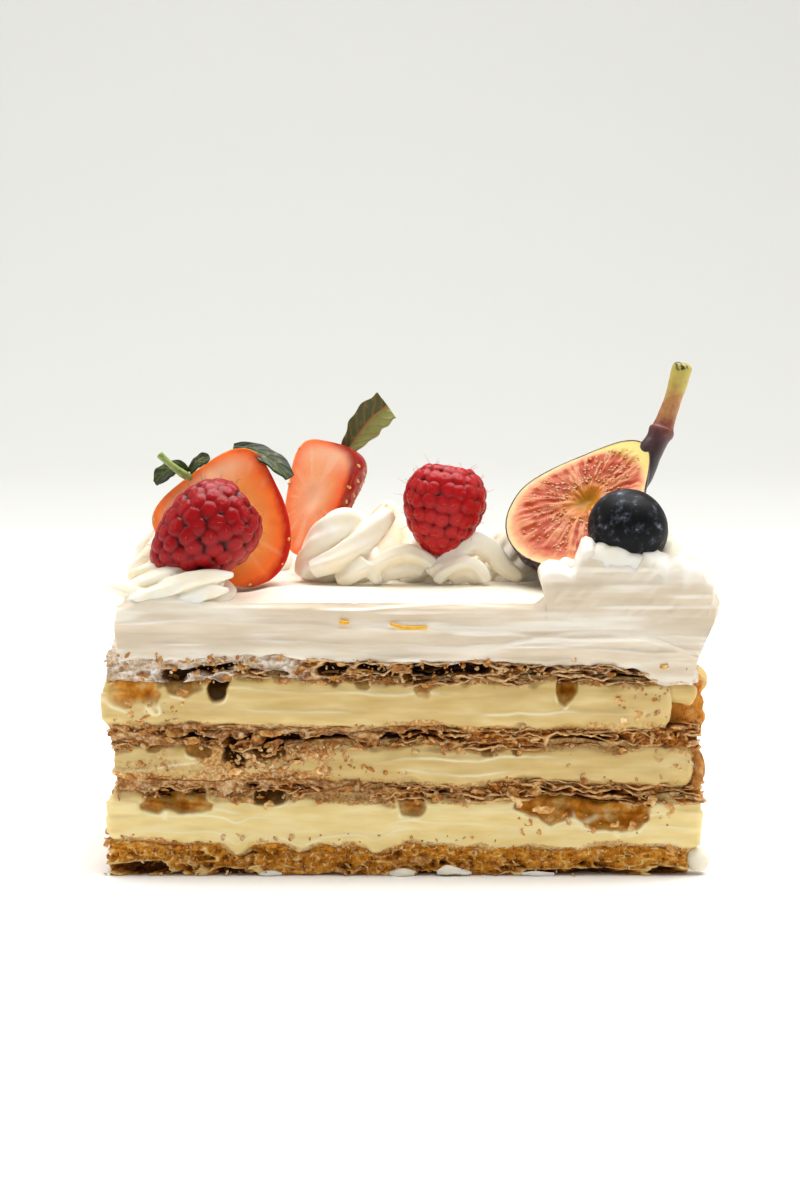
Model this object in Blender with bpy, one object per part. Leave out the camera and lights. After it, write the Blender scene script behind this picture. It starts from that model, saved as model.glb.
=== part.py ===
"""Mille feuille slice: four sheets of puff pastry, three layers of custard cream, a whipped cream top
with piped rosettes, and fruit.

X runs along the slice from its left end to its right end, Y from the cut front face to the back,
and Z up. The origin is the middle of the base. Lengths are in millimetres until a mesh is made.
"""

import math

import bmesh
import bpy
from mathutils import Matrix, Vector, noise

MM = 0.001
GAP = 0.3  # clearance kept between pieces that touch

# ---------------------------------------------------------------- driving dimensions

LENGTH = 122.0
DEPTH = 60.0
RIM = 7.5  # width of the band inside the edge where a layer's faces undulate
CREAM_TOP = 57.0  # height of the whipped cream's flat top

# Every layer from the base up: name, the height it reaches, how far its left and right ends pass the
# slice's nominal length, how far its wall bulges, and its finish.
LAYERS = [
    ("pastry_sheet_1", 6.6, 0.6, -2.0, 0.0, "pastry"),
    ("custard_1", 16.2, 0.0, 0.0, 0.7, "custard"),
    ("pastry_sheet_2", 19.9, -1.4, 0.6, 0.0, "pastry"),
    ("custard_2", 27.0, -1.4, -2.0, 0.5, "custard"),
    ("pastry_sheet_3", 31.2, -0.2, 0.0, 0.0, "pastry"),
    ("custard_3", 40.6, 0.8, -6.6, 0.7, "custard"),
    ("pastry_sheet_4", 45.0, 0.4, -0.6, 0.0, "pastry"),
    ("whipped_top", CREAM_TOP, -0.8, 0.4, 0.6, "whipped_cream"),
]
WAVE_HEIGHT = 0.55  # how far a boundary between layers rises and falls along the edge
WAVE_LENGTH = 17.0
EDGE_ROUGHNESS = 0.8  # how unevenly the layers end along the cut
EDGE_LENGTH = 11.0
SAG = 3.2  # how far the whipped cream hangs over its right end, below the corner rosette

# The piped rosettes: name, centre X and Y, radius, height, and turn of the first lobe in degrees.
ROSETTES = [
    ("rosette_front_left", -47.2, -19.0, 14.8, 10.5, 10),
    ("rosette_left", -51.9, 4.6, 8.3, 12.0, 50),
    ("rosette_middle_left", -13.6, 4.0, 9.4, 15.0, 25),
    ("rosette_middle", 4.7, 3.0, 8.7, 11.5, 70),
    ("rosette_middle_right", 22.6, 4.4, 8.9, 11.0, 40),
    ("rosette_back_1", -50.4, 21.6, 8.7, 13.0, 0),
    ("rosette_back_2", -32.0, 21.2, 8.9, 12.0, 30),
    ("rosette_back_3", -5.0, 21.6, 9.0, 15.5, 15),
    ("rosette_back_4", 13.6, 21.4, 9.0, 13.0, 55),
    ("rosette_back_5", 32.4, 21.0, 9.0, 13.0, 35),
    ("rosette_back_6", 51.6, 20.4, 9.4, 13.5, 20),
    ("rosette_right", 55.0, 0.6, 9.6, 14.0, 65),
    ("rosette_front_right", 42.8, -25.6, 14.2, 14.0, 5),
]
CORNER_ROSETTE = (56.6, -20.6, 10.0, 13.0, 45)  # piped into rosette_front_right
LOBES = 6
LOBE_DEPTH = 0.26  # share of the radius
SWIRL = math.radians(150)  # how far a lobe winds from the base to the tip

PASTRY_END = (56.4, 62.0, -23.0, 21.0)  # X and Y range of the broken end that stands behind custard_3
PASTRY_END_SWELL = 0.7  # how unevenly that end is broken

COLOURS = {
    "pastry": (0.30, 0.13, 0.035, 1),
    "custard": (0.80, 0.66, 0.36, 1),
    "whipped_cream": (0.90, 0.86, 0.78, 1),
    "raspberry": (0.45, 0.01, 0.02, 1),
    "blueberry": (0.03, 0.035, 0.06, 1),
    "strawberry": (0.80, 0.13, 0.04, 1),
    "leaf": (0.08, 0.15, 0.03, 1),
    "fig": (0.16, 0.06, 0.09, 1),
}
MOIST_ROUGHNESS, DRY_ROUGHNESS = 0.35, 0.6


# ---------------------------------------------------------------- helpers


def clear_scene():
    for obj in list(bpy.data.objects):
        bpy.data.objects.remove(obj)


def finish(name):
    """The material of that name, made once."""
    if name in bpy.data.materials:
        return bpy.data.materials[name]
    material = bpy.data.materials.new(name)
    material.use_nodes = True
    shader = material.node_tree.nodes["Principled BSDF"]
    shader.inputs["Base Color"].default_value = COLOURS[name]
    moist = name in ("raspberry", "strawberry")
    shader.inputs["Roughness"].default_value = MOIST_ROUGHNESS if moist else DRY_ROUGHNESS
    shader.inputs["Metallic"].default_value = 0.0
    return material


def solid(name, bm, material, place=None):
    """An object from a bmesh in millimetres, put where the matrix says, with its faces pointing out."""
    bmesh.ops.recalc_face_normals(bm, faces=bm.faces)
    if place is not None:
        bm.transform(place)
    bm.transform(Matrix.Scale(MM, 4))
    mesh = bpy.data.meshes.new(name)
    bm.to_mesh(mesh)
    bm.free()
    mesh.materials.append(finish(material))
    obj = bpy.data.objects.new(name, mesh)
    bpy.context.scene.collection.objects.link(obj)
    return obj


def cutter(name, bm, place=None):
    """A form that only a Boolean uses."""
    obj = solid(name, bm, "whipped_cream", place)
    obj.hide_render = True
    obj.display_type = "WIRE"
    return obj


def combine(obj, other, operation):
    step = obj.modifiers.new(operation.lower(), "BOOLEAN")
    step.operation = operation
    step.object = other
    step.solver = "EXACT"


def stand(origin, axis, facing):
    """A place whose local Z runs along axis, and whose local -Y looks as near to facing as it can."""
    z = Vector(axis).normalized()
    y = -(Vector(facing) - Vector(facing).project(z)).normalized()
    x = y.cross(z)
    turn = Matrix((x, y, z)).transposed().to_4x4()
    return Matrix.Translation(origin) @ turn


def smoothstep(low, high, value):
    t = min(1.0, max(0.0, (value - low) / (high - low)))
    return t * t * (3 - 2 * t)


def uneven(x, y, seed, length):
    """Smooth noise between about -1 and 1 over the plan of the slice."""
    return 1.6 * noise.noise(Vector((x / length, y / length, 9.7 * seed)))


def split(bm, axis, cuts):
    """Cuts the edges that run along one axis, and the faces between them."""
    along = [e for e in bm.edges if abs((e.verts[0].co - e.verts[1].co)[axis]) > 0.5]
    bmesh.ops.subdivide_edges(bm, edges=along, cuts=cuts, use_grid_fill=True)


# ---------------------------------------------------------------- layers

COLUMNS_X, COLUMNS_Y = 12, 7


def boundary_height(index, x, y):
    """Height of the boundary under layer index: flat inside, wavy along the rim."""
    level = LAYERS[index - 1][1] if index else 0.0
    if index in (0, len(LAYERS)):
        return level
    inside = min(LENGTH / 2 - abs(x), DEPTH / 2 - abs(y))
    fade = 1.0 - smoothstep(0.2 * RIM, RIM, inside)
    return level + WAVE_HEIGHT * uneven(x, y, index, WAVE_LENGTH) * fade


def layer(index):
    """One layer of the slice, from its lower boundary to its upper one."""
    name, _, left, right, bulge, material = LAYERS[index]
    topmost = index + 1 == len(LAYERS)
    bm = bmesh.new()
    bmesh.ops.create_grid(bm, x_segments=COLUMNS_X, y_segments=COLUMNS_Y, size=1.0)
    raised = bmesh.ops.extrude_face_region(bm, geom=bm.faces[:])
    top = [v for v in raised["geom"] if isinstance(v, bmesh.types.BMVert)]
    bmesh.ops.translate(bm, verts=top, vec=(0, 0, 1))
    if bulge:
        split(bm, 2, 1)
    for vert in bm.verts:
        u, v, w = vert.co
        x, y = u * LENGTH / 2, v * DEPTH / 2
        low = boundary_height(index, x, y) + (GAP / 2 if index else 0)
        high = boundary_height(index + 1, x, y) - (0 if topmost else GAP / 2)
        belly = bulge * 4 * w * (1 - w)
        rough = EDGE_ROUGHNESS * uneven(x, y + DEPTH, index + 20, EDGE_LENGTH)
        if abs(v) > 0.999:
            y += math.copysign(1, v) * (belly - max(0.0, rough))
        if u > 0.999:
            x += belly + right + rough
            x += SAG * smoothstep(0, DEPTH / 3, -y) * w if topmost else 0
        elif u < -0.999:
            x -= belly + left + rough
        vert.co = (x, y, low + (high - low) * w)
    flat = [f for f in bm.faces if max(v.co.z for v in f.verts) - min(v.co.z for v in f.verts) < 1e-4]
    bmesh.ops.dissolve_faces(bm, faces=flat)
    return solid(name, bm, material)


def pastry_end():
    """The broken end of a sheet that stands at the right, between the third and the fourth sheet."""
    x0, x1, y0, y1 = PASTRY_END
    z0, z1 = LAYERS[4][1] + 1.1, LAYERS[5][1] - 1.0
    bm = bmesh.new()
    bmesh.ops.create_cube(bm, size=1.0)
    split(bm, 1, 7)
    split(bm, 2, 1)
    for vert in bm.verts:
        x, y, z = vert.co + Vector((0.5, 0.5, 0.5))
        y = y0 + (y1 - y0) * y
        swell = PASTRY_END_SWELL * uneven(y, LENGTH * z, 31, WAVE_LENGTH / 2) if x > 0.5 else 0.0
        vert.co = (x0 + (x1 - x0) * x + swell, y, z0 + (z1 - z0) * z)
    return solid("pastry_end", bm, "pastry")


# ---------------------------------------------------------------- piped cream

ROSETTE_ROWS = 6
COLUMNS_PER_LOBE = 3


def rosette(x, y, radius, height, start):
    """The form of a star-nozzle swirl: rounded lobes and sharp valleys that wind up to a soft tip."""
    bm = bmesh.new()
    around = LOBES * COLUMNS_PER_LOBE
    bmesh.ops.create_cone(bm, segments=around, radius1=1, radius2=1, depth=1, cap_ends=True)
    split(bm, 2, ROSETTE_ROWS - 1)
    for vert in bm.verts:
        t = vert.co.z + 0.5
        turn = math.atan2(vert.co.x, vert.co.y)
        angle = turn + math.radians(start) + SWIRL * t
        lobe = abs(math.sin(LOBES / 2 * turn))
        ridge = 1 - LOBE_DEPTH * (1 - lobe) * (1 - 0.4 * t)
        foot = 0.9 + 0.1 * smoothstep(0, 0.2, t)
        reach = radius * ridge * foot * (1 - 0.93 * t**1.6) ** 0.85
        spot = Vector((math.cos(angle), math.sin(angle), 0)) * reach
        vert.co = Vector((x, y, CREAM_TOP + GAP + height * t)) + spot
    bmesh.ops.triangulate(bm, faces=bm.faces, quad_method="SHORT_EDGE")
    return bm


def knife():
    """The space in front of the cut face, which trims the rosettes that the knife went through."""
    bm = bmesh.new()
    bmesh.ops.create_cube(bm, size=1.0)
    reach = 20.0
    size = Matrix.Diagonal((2 * LENGTH, reach, 2 * reach, 1))
    return cutter("knife", bm, Matrix.Translation((0, -DEPTH / 2 - reach / 2, CREAM_TOP)) @ size)


# ---------------------------------------------------------------- fruit forms


def ball(around, rows):
    bm = bmesh.new()
    bmesh.ops.create_uvsphere(bm, u_segments=around, v_segments=rows, radius=1.0)
    return bm


def turned(bm, length, radius, taper):
    """Shapes a unit ball into a fruit: taper(t) scales its girth, with t from 0 at -Z to 1 at +Z."""
    for vert in bm.verts:
        girth = radius * taper((vert.co.z + 1) / 2)
        vert.co = (vert.co.x * girth, vert.co.y * girth, vert.co.z * length / 2)
    return bm


def halve(bm, step_forward=0.0):
    """Keeps what is behind the plane Y = 0, closes it with a flat face and moves that face forward."""
    geometry = bm.verts[:] + bm.edges[:] + bm.faces[:]
    bmesh.ops.bisect_plane(
        bm, geom=geometry, dist=1e-4, plane_co=(0, 0, 0), plane_no=(0, 1, 0), clear_inner=True
    )
    bmesh.ops.edgeloop_fill(bm, edges=[e for e in bm.edges if e.is_boundary])
    for vert in bm.verts:
        vert.co.y -= step_forward if vert.co.y < 1e-3 else 0.0
    return bm


def seat(name, place, length, radius, taper, half, grow):
    """The hollow that a fruit presses into the cream: its smooth form, larger all round by grow."""
    bm = turned(ball(16, 10), length + 2 * grow, radius + grow, taper)
    return cutter(name + "_seat", halve(bm, grow) if half else bm, place)


BEAD = 3.6  # a drupelet's width
BEAD_REACH = 0.58 * BEAD  # from a drupelet's middle to the bottom of the valley round it
BEAD_RELIEF = 1.3  # how far a drupelet stands out of the valleys round it


def raspberry_taper(t):
    """Blunt at its open end, at +Z, and narrowing to the tip at -Z."""
    return 0.74 + 0.42 * t


def drupelet_centres(length, radius):
    """Unit directions of a raspberry's drupelets, in rings that are staggered like brickwork."""
    rings = round(1.25 * length / BEAD)
    centres = []
    for ring in range(rings + 1):
        lift = math.pi * (ring + 0.5) / (rings + 1)
        count = max(1, round(math.tau * radius * math.sin(lift) / BEAD))
        for k in range(count):
            turn = math.tau * (k + 0.5 * (ring % 2)) / count
            flat = Vector((math.cos(turn), math.sin(turn), 0)) * math.sin(lift)
            centres.append(flat + Vector((0, 0, math.cos(lift))))
    return centres


def raspberry(name, place, length, radius):
    centres = drupelet_centres(length, radius)
    bm = bmesh.new()
    bmesh.ops.create_icosphere(bm, subdivisions=4, radius=1.0)
    for vert in bm.verts:
        off = min((vert.co - c).length for c in centres) * radius / BEAD_REACH
        dome = math.sqrt(max(0.0, 1 - off**2))
        vert.co *= 1 + BEAD_RELIEF * (dome - 1) / radius
    return solid(name, turned(bm, length, radius, raspberry_taper), "raspberry", place)


def round_taper(t):
    return 1.0


def blueberry(name, place, length, radius):
    """A flattened ball with the rimmed crater of its flower end at +Z."""
    bm = ball(16, 10)
    for vert in bm.verts:
        off_axis = math.hypot(vert.co.x, vert.co.y)
        if vert.co.z > 0:
            rim = math.exp(-(((off_axis - 0.42) / 0.12) ** 2))
            vert.co.z += 0.07 * rim - 0.15 * (1 - smoothstep(0.0, 0.4, off_axis))
    return solid(name, turned(bm, length, radius, round_taper), "blueberry", place)


def strawberry_taper(t):
    """Broad, flat-topped shoulders near the stalk, at +Z, and a blunt point at -Z."""
    return 0.84 + 0.38 * t**2 + 0.40 * smoothstep(0.72, 1.0, t)


def strawberry(name, place, length, radius):
    """Half a strawberry, with its cut face in its local plane Y = 0."""
    return solid(name, halve(turned(ball(20, 14), length, radius, strawberry_taper)), "strawberry", place)


def fig_taper(t):
    """A drop: full at the flower end, at -Z, and drawn out to a neck at +Z."""
    return 1.13 - 0.28 * t - 0.25 * smoothstep(0.35, 0.9, t)


def fig(name, place, length, radius):
    """Half a fig, with its cut face in its local plane Y = 0."""
    return solid(name, halve(turned(ball(24, 14), length, radius, fig_taper)), "fig", place)


def bent_rod(bm, points, radii):
    """Shapes a cylinder into a round rod through points, with a radius at each."""
    path = [Vector(p) for p in points]
    split(bm, 2, len(path) - 2)
    for vert in bm.verts:
        k = round((vert.co.z + 0.5) * (len(path) - 1))
        ahead, behind = path[min(k + 1, len(path) - 1)], path[max(k - 1, 0)]
        turn = Vector((0, 0, 1)).rotation_difference(ahead - behind)
        vert.co = path[k] + turn @ Vector((vert.co.x, vert.co.y, 0)) * radii[k]
    return bm


def rod_blank(around):
    bm = bmesh.new()
    bmesh.ops.create_cone(bm, segments=around, radius1=1, radius2=1, depth=1, cap_ends=True)
    return bm


def blade(name, points, width, facing, fold, end_width, thickness=0.6):
    """A leaf along points, creased along its midrib: narrow at the root, widest past the middle."""
    bm = bmesh.new()
    bmesh.ops.create_grid(bm, x_segments=2, y_segments=6, size=1.0)
    spine = [Vector(p) for p in points]
    for vert in bm.verts:
        across, t = vert.co.x, (vert.co.y + 1) / 2
        step = t * (len(spine) - 1)
        k = min(int(step), len(spine) - 2)
        along = (spine[k + 1] - spine[k]).normalized()
        side = along.cross(Vector(facing)).normalized()
        swell = 0.45 + 0.55 * smoothstep(0, 0.6, t) - (1 - end_width) * smoothstep(0.75, 1, t)
        half = width / 2 * swell
        centre = spine[k].lerp(spine[k + 1], step - k)
        vert.co = centre + side * across * half + side.cross(along) * abs(across) * half * fold
    bmesh.ops.recalc_face_normals(bm, faces=bm.faces)
    bmesh.ops.solidify(bm, geom=bm.faces[:], thickness=thickness)
    return solid(name, bm, "leaf")


# ---------------------------------------------------------------- the fruit and where it sits

TOWARDS_FRONT = (0, -1, 0)

# Where each fruit sits, and which way it points.
RASPBERRY_LEFT = stand((-41.7, -19.0, 69.9), (0.79, 0.14, 0.60), TOWARDS_FRONT)
RASPBERRY_CENTRE = stand((8.2, -4.0, 73.4), (0.14, 0.05, 0.99), TOWARDS_FRONT)
BLUEBERRY = stand((45.9, -23.2, 71.4), (0.45, 0.75, 0.45), TOWARDS_FRONT)
STRAWBERRY_FRONT = stand((-37.3, -6.6, 70.6), (-0.60, 0.08, 0.79), (-0.16, -0.97, 0.16))
STRAWBERRY_BACK = stand((-19.6, 9.6, 74.2), (0.29, 0.16, 0.94), (-0.68, -0.70, 0.20))
FIG = stand((38.2, -4.5, 75.4), (0.64, 0.48, 0.60), (-0.42, -0.80, 0.62))

# Every fruit: its maker, name, place, length, radius, taper, and whether it is cut in half.
FRUIT = [
    (raspberry, "raspberry_left", RASPBERRY_LEFT, 25.6, 10.0, raspberry_taper, False),
    (raspberry, "raspberry_centre", RASPBERRY_CENTRE, 20.4, 9.2, raspberry_taper, False),
    (blueberry, "blueberry", BLUEBERRY, 15.6, 8.4, round_taper, False),
    (strawberry, "strawberry_front", STRAWBERRY_FRONT, 28.0, 12.8, strawberry_taper, True),
    (strawberry, "strawberry_back", STRAWBERRY_BACK, 25.5, 9.0, strawberry_taper, True),
    (fig, "fig_half", FIG, 38.5, 14.5, fig_taper, True),
]
SEAT_CLEARANCE = 0.45

# The fig's neck and stalk: points on its middle line, and the radius at each.
FIG_STALK = [
    ((47.2, 2.4, 76.0), 2.8),
    ((50.2, 3.7, 80.2), 4.0),
    ((52.2, 4.8, 84.4), 3.4),
    ((54.0, 5.5, 87.2), 2.8),
    ((54.9, 6.0, 88.9), 2.9),
    ((55.5, 6.4, 90.4), 2.2),
    ((57.3, 7.2, 95.4), 1.9),
    ((58.7, 7.8, 100.0), 2.1),
    ((59.7, 8.1, 103.6), 2.2),
]
BACK_LEAF = [(-10.6, 13.4, 86.3), (-8.3, 13.4, 89.8), (-6.1, 13.2, 92.6), (-3.6, 13.0, 93.9)]
FRONT_LEAF = [(-36.4, 0.2, 86.1), (-32.0, -0.2, 85.7), (-27.8, -1.1, 83.5), (-24.3, -2.6, 79.9)]
FRONT_LEAF_LEFT = [(-48.0, -4.2, 82.4), (-50.6, -3.8, 81.0), (-52.8, -3.4, 78.8)]
FRONT_STALK = [((-47.6, -6.0, 81.6), 0.9), ((-49.2, -6.2, 83.0), 0.7), ((-51.8, -6.4, 85.4), 0.85)]


def make_fruit():
    """Every piece of fruit, with the seat that it presses into the cream."""
    seats = []
    for make, name, place, length, radius, taper, half in FRUIT:
        make(name, place, length, radius)
        seats.append(seat(name, place, length, radius, taper, half, SEAT_CLEARANCE))
    points, radii = zip(*FIG_STALK)
    stalk = cutter("fig_stalk_form", bent_rod(rod_blank(12), points, radii))
    combine(bpy.data.objects["fig_half"], stalk, "UNION")
    return seats


def make_leaves():
    blade("strawberry_back_leaf", BACK_LEAF, 7.2, (-0.2, -1, 0.1), fold=0.35, end_width=0.95)
    blade("strawberry_front_leaf", FRONT_LEAF, 5.0, (0.5, -0.6, 0.6), fold=0.1, end_width=0.5)
    blade("strawberry_front_leaf_left", FRONT_LEAF_LEFT, 4.2, (-0.4, -0.7, 0.6), fold=0.3, end_width=0.3)
    points, radii = zip(*FRONT_STALK)
    solid("strawberry_front_stalk", bent_rod(rod_blank(8), points, radii), "leaf")


# ---------------------------------------------------------------- assembly


def box_of(obj):
    corners = [v.co for v in obj.data.vertices]
    return [[pick(c[k] for c in corners) for k in range(3)] for pick in (min, max)]


def meet(a, b):
    """Whether the boxes of two objects overlap."""
    low_a, high_a = box_of(a)
    low_b, high_b = box_of(b)
    return all(low_a[k] < high_b[k] and low_b[k] < high_a[k] for k in range(3))


def press(piece, seats):
    """Carves the seats of the fruit that reaches into a piece of cream."""
    for hollow in seats:
        if meet(piece, hollow):
            combine(piece, hollow, "DIFFERENCE")


def make_rosettes(seats):
    """The rosettes, trimmed by the knife and carved by the fruit pressed into them."""
    cut = knife()
    corner = cutter("corner_form", rosette(*CORNER_ROSETTE))
    for name, x, y, radius, height, start in ROSETTES:
        piece = solid(name, rosette(x, y, radius, height, start), "whipped_cream")
        if name == "rosette_front_right":
            combine(piece, corner, "UNION")
        if y - radius < -DEPTH / 2:
            combine(piece, cut, "DIFFERENCE")
        press(piece, seats)


def main():
    clear_scene()
    layers = [layer(index) for index in range(len(LAYERS))]
    pastry_end()
    seats = make_fruit()
    make_leaves()
    make_rosettes(seats)
    press(layers[-1], seats)


main()
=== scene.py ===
"""Mille feuille slice, dressed: torn pastry leaves, knife-drawn creams, piped swirls and fresh fruit.

X runs along the slice to the end with the fig, Y from the cut front face to the back, Z up.
Lengths are in millimetres until a mesh is written.
"""

import math
from collections import namedtuple

import bmesh
import bpy
import numpy as np
from mathutils import Matrix, Vector


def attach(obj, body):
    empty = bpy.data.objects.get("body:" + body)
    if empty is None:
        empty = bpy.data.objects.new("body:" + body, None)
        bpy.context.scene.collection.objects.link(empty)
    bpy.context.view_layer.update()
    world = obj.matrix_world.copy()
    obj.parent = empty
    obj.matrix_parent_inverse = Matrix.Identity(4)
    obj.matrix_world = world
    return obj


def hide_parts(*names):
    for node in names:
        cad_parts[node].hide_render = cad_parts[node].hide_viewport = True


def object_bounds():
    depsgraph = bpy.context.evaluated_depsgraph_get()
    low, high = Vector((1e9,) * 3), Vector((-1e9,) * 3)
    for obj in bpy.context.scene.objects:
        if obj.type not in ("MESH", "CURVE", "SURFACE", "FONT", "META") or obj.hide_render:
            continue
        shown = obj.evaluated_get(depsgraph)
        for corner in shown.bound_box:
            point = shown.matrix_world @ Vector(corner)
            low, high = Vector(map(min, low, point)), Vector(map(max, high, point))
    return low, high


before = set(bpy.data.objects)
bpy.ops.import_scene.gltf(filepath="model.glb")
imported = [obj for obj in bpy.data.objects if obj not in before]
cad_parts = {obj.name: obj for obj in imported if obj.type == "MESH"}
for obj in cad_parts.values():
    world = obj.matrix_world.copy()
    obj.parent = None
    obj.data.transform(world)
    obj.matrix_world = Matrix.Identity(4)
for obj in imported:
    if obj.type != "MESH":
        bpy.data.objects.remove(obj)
cad_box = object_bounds()

MM = 0.001
BOX_LOW, BOX_HIGH = (np.array(corner) / MM + shift for corner, shift in zip(cad_box, (0.02, -0.02)))
LENGTH, DEPTH = 122.0, 60.0
CREAM_TOP = 57.0
FRONT = -DEPTH / 2

# ---------------------------------------------------------------- numbers that look random


def lattice(ix, iy, iz, seed):
    """A repeatable number from 0 to 1 for each cell of a lattice."""
    h = (ix * 73856093) ^ (iy * 19349663) ^ (iz * 83492791) ^ (seed * 2654435761)
    h = ((h ^ (h >> 13)) * 1274126177) & 0xFFFFFFFF
    h = ((h ^ (h >> 16)) * 2246822519) & 0xFFFFFFFF
    return ((h ^ (h >> 15)) & 0xFFFF) / 65535.0


def noise(spots, length, seed=0):
    """Smooth noise from -1 to 1 over points, changing over that length, which may differ by axis."""
    p = spots / np.asarray(length, float) + 0.37 * seed
    cell = np.floor(p).astype(np.int64)
    f = p - cell
    f = f * f * (3 - 2 * f)
    total = 0.0
    for corner in range(8):
        bits = [(corner >> axis) & 1 for axis in range(3)]
        weight = 1.0
        for axis, bit in enumerate(bits):
            weight = weight * (f[:, axis] if bit else 1 - f[:, axis])
        total = total + weight * lattice(*(cell[:, axis] + bit for axis, bit in enumerate(bits)), seed)
    return 2 * total - 1


def rough(spots, length, seed=0, octaves=3):
    """Noise with finer and fainter noise on it."""
    length = np.asarray(length, float)
    total, share = 0.0, 1.0
    for octave in range(octaves):
        total = total + share * noise(spots, length / 2.13**octave, seed + 17 * octave)
        share *= 0.5
    return total / 1.5


def smooth(low, high, value):
    t = np.clip((value - low) / (high - low), 0.0, 1.0)
    return t * t * (3 - 2 * t)


def bell(value, width):
    return np.exp(-((value / width) ** 2))


def spots_of(*columns):
    """Points from their X, Y and Z, where any of them may be one number."""
    return np.stack(np.broadcast_arrays(*columns), 1).astype(float)


# ---------------------------------------------------------------- meshes


def bent_grid(name, columns, rows, shape):
    """A fine grid bent by shape(u, v), which gives points in millimetres and marks for the finish."""
    bm = bmesh.new()
    bmesh.ops.create_grid(bm, x_segments=columns, y_segments=rows, size=0.5)
    mesh = bpy.data.meshes.new(name)
    bm.to_mesh(mesh)
    bm.free()
    flat = read_spots(mesh)
    spots, marks = shape(flat[:, 0] + 0.5, flat[:, 1] + 0.5)
    write_spots(mesh, spots)
    write_marks(mesh, marks)
    return mesh


def read_spots(mesh):
    spots = np.empty(len(mesh.vertices) * 3)
    mesh.vertices.foreach_get("co", spots)
    return spots.reshape(-1, 3)


def write_spots(mesh, spots):
    """Writes points given in millimetres, held inside the box of the solids."""
    spots = np.clip(spots, BOX_LOW, BOX_HIGH)
    mesh.vertices.foreach_set("co", np.ascontiguousarray(spots * MM).ravel())


def write_marks(mesh, marks):
    for key, values in marks.items():
        layer = mesh.attributes.new(key, "FLOAT", "POINT")
        layer.data.foreach_set("value", np.ascontiguousarray(values, dtype=np.float32))


def close(mesh, fill=True):
    """Welds the seam of a mesh, closes what is left open and turns its faces outwards."""
    bm = bmesh.new()
    bm.from_mesh(mesh)
    bmesh.ops.remove_doubles(bm, verts=bm.verts, dist=2e-6)
    if fill:
        bmesh.ops.holes_fill(bm, edges=[e for e in bm.edges if e.is_boundary], sides=0)
    bmesh.ops.recalc_face_normals(bm, faces=bm.faces)
    bm.to_mesh(mesh)
    bm.free()
    return mesh


def mark_folds(mesh, reach=24, depth=0.5):
    """Marks how deep in a fold each point lies, by how far heavy smoothing would lift it out, for the shade
    painted there.
    """
    obj = bpy.data.objects.new("folds", mesh)
    bpy.context.scene.collection.objects.link(obj)
    soften = obj.modifiers.new("soften", "SMOOTH")
    soften.factor, soften.iterations = 0.5, reach
    smoothed = bpy.data.meshes.new_from_object(obj.evaluated_get(bpy.context.evaluated_depsgraph_get()))
    bpy.data.objects.remove(obj)
    facing = np.empty(len(mesh.vertices) * 3)
    mesh.vertices.foreach_get("normal", facing)
    lifted = ((read_spots(smoothed) - read_spots(mesh)) / MM * facing.reshape(-1, 3)).sum(1)
    write_marks(mesh, {"fold": np.clip(lifted / depth, 0, 1)})
    return mesh


def joined(name, meshes):
    """One mesh of several, in order."""
    bm = bmesh.new()
    for mesh in meshes:
        bm.from_mesh(mesh)
    whole = bpy.data.meshes.new(name)
    bm.to_mesh(whole)
    bm.free()
    return whole


def piece(name, mesh, material, slot, *nodes):
    """An object of the slice with its finish and the nodes that it stands for; its slot argument is not used.
    """
    obj = bpy.data.objects.new(name, mesh)
    bpy.context.scene.collection.objects.link(obj)
    mesh.materials.clear()
    mesh.materials.append(material)
    mesh.shade_smooth()
    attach(obj, "root")
    if nodes:
        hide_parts(*nodes)
    return obj


def along(points, t):
    """Where a smooth curve through points is, at t from 0 to 1."""
    points = np.asarray(points, float)
    last = len(points) - 1
    place = np.clip(np.asarray(t, float), 0, 1) * last
    k = np.minimum(place.astype(int), last - 1)
    f = (place - k)[:, None]
    a, b, c, d = (points[np.clip(k + step, 0, last)] for step in (-1, 0, 1, 2))
    return b + 0.5 * f * (c - a + f * (2 * a - 5 * b + 4 * c - d + f * (3 * (b - c) + d - a)))


def strand(name, points, radii, columns=48, rows=16, uneven=0.0, seed=0, ridges=0.0):
    """A rope of cream or a stalk through points, rounded off at both ends, ridged by its nozzle."""

    def shape(u, v):
        centre = along(points, u)
        ahead = along(points, np.minimum(u + 0.01, 1)) - along(points, np.maximum(u - 0.01, 0))
        ahead /= np.linalg.norm(ahead, axis=1)[:, None]
        side = np.cross(ahead, (0.31, 0.2, 0.93))
        side /= np.linalg.norm(side, axis=1)[:, None]
        up = np.cross(side, ahead)
        reach = along(np.asarray(radii, float)[:, None], u)[:, 0]
        reach = reach * np.sqrt(np.clip(1 - np.maximum(np.abs(2 * u - 1) - 0.9, 0) ** 2 / 0.01, 0, 1))
        turn = math.tau * v
        out = side * np.cos(turn)[:, None] + up * np.sin(turn)[:, None]
        reach = reach * (1 + uneven * noise(centre + 2 * out, 2.2, seed) + ridges * np.cos(5 * turn + 3 * u))
        return centre + out * reach[:, None], {"run": u}

    return close(bent_grid(name, columns, rows, shape), fill=False)


def stand(origin, axis, facing):
    """A place whose local Z runs along axis, and whose local -Y looks as near to facing as it can."""
    z = Vector(axis).normalized()
    y = -(Vector(facing) - Vector(facing).project(z)).normalized()
    x = y.cross(z)
    return np.array((x, y, z)), np.array(origin, float)


def put(spots, place):
    turn, origin = place
    return spots @ turn + origin


# ---------------------------------------------------------------- finishes

FACTOR, COLOUR_A, COLOUR_B, MIXED = 0, 6, 7, 2  # sockets of a Mix node that mixes colours


def colour(code, alpha=1.0):
    """Linear colour from an sRGB hex code."""
    parts = [int(code[k : k + 2], 16) / 255 for k in (1, 3, 5)]
    return tuple(c / 12.92 if c <= 0.04045 else ((c + 0.055) / 1.055) ** 2.4 for c in parts) + (alpha,)


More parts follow.
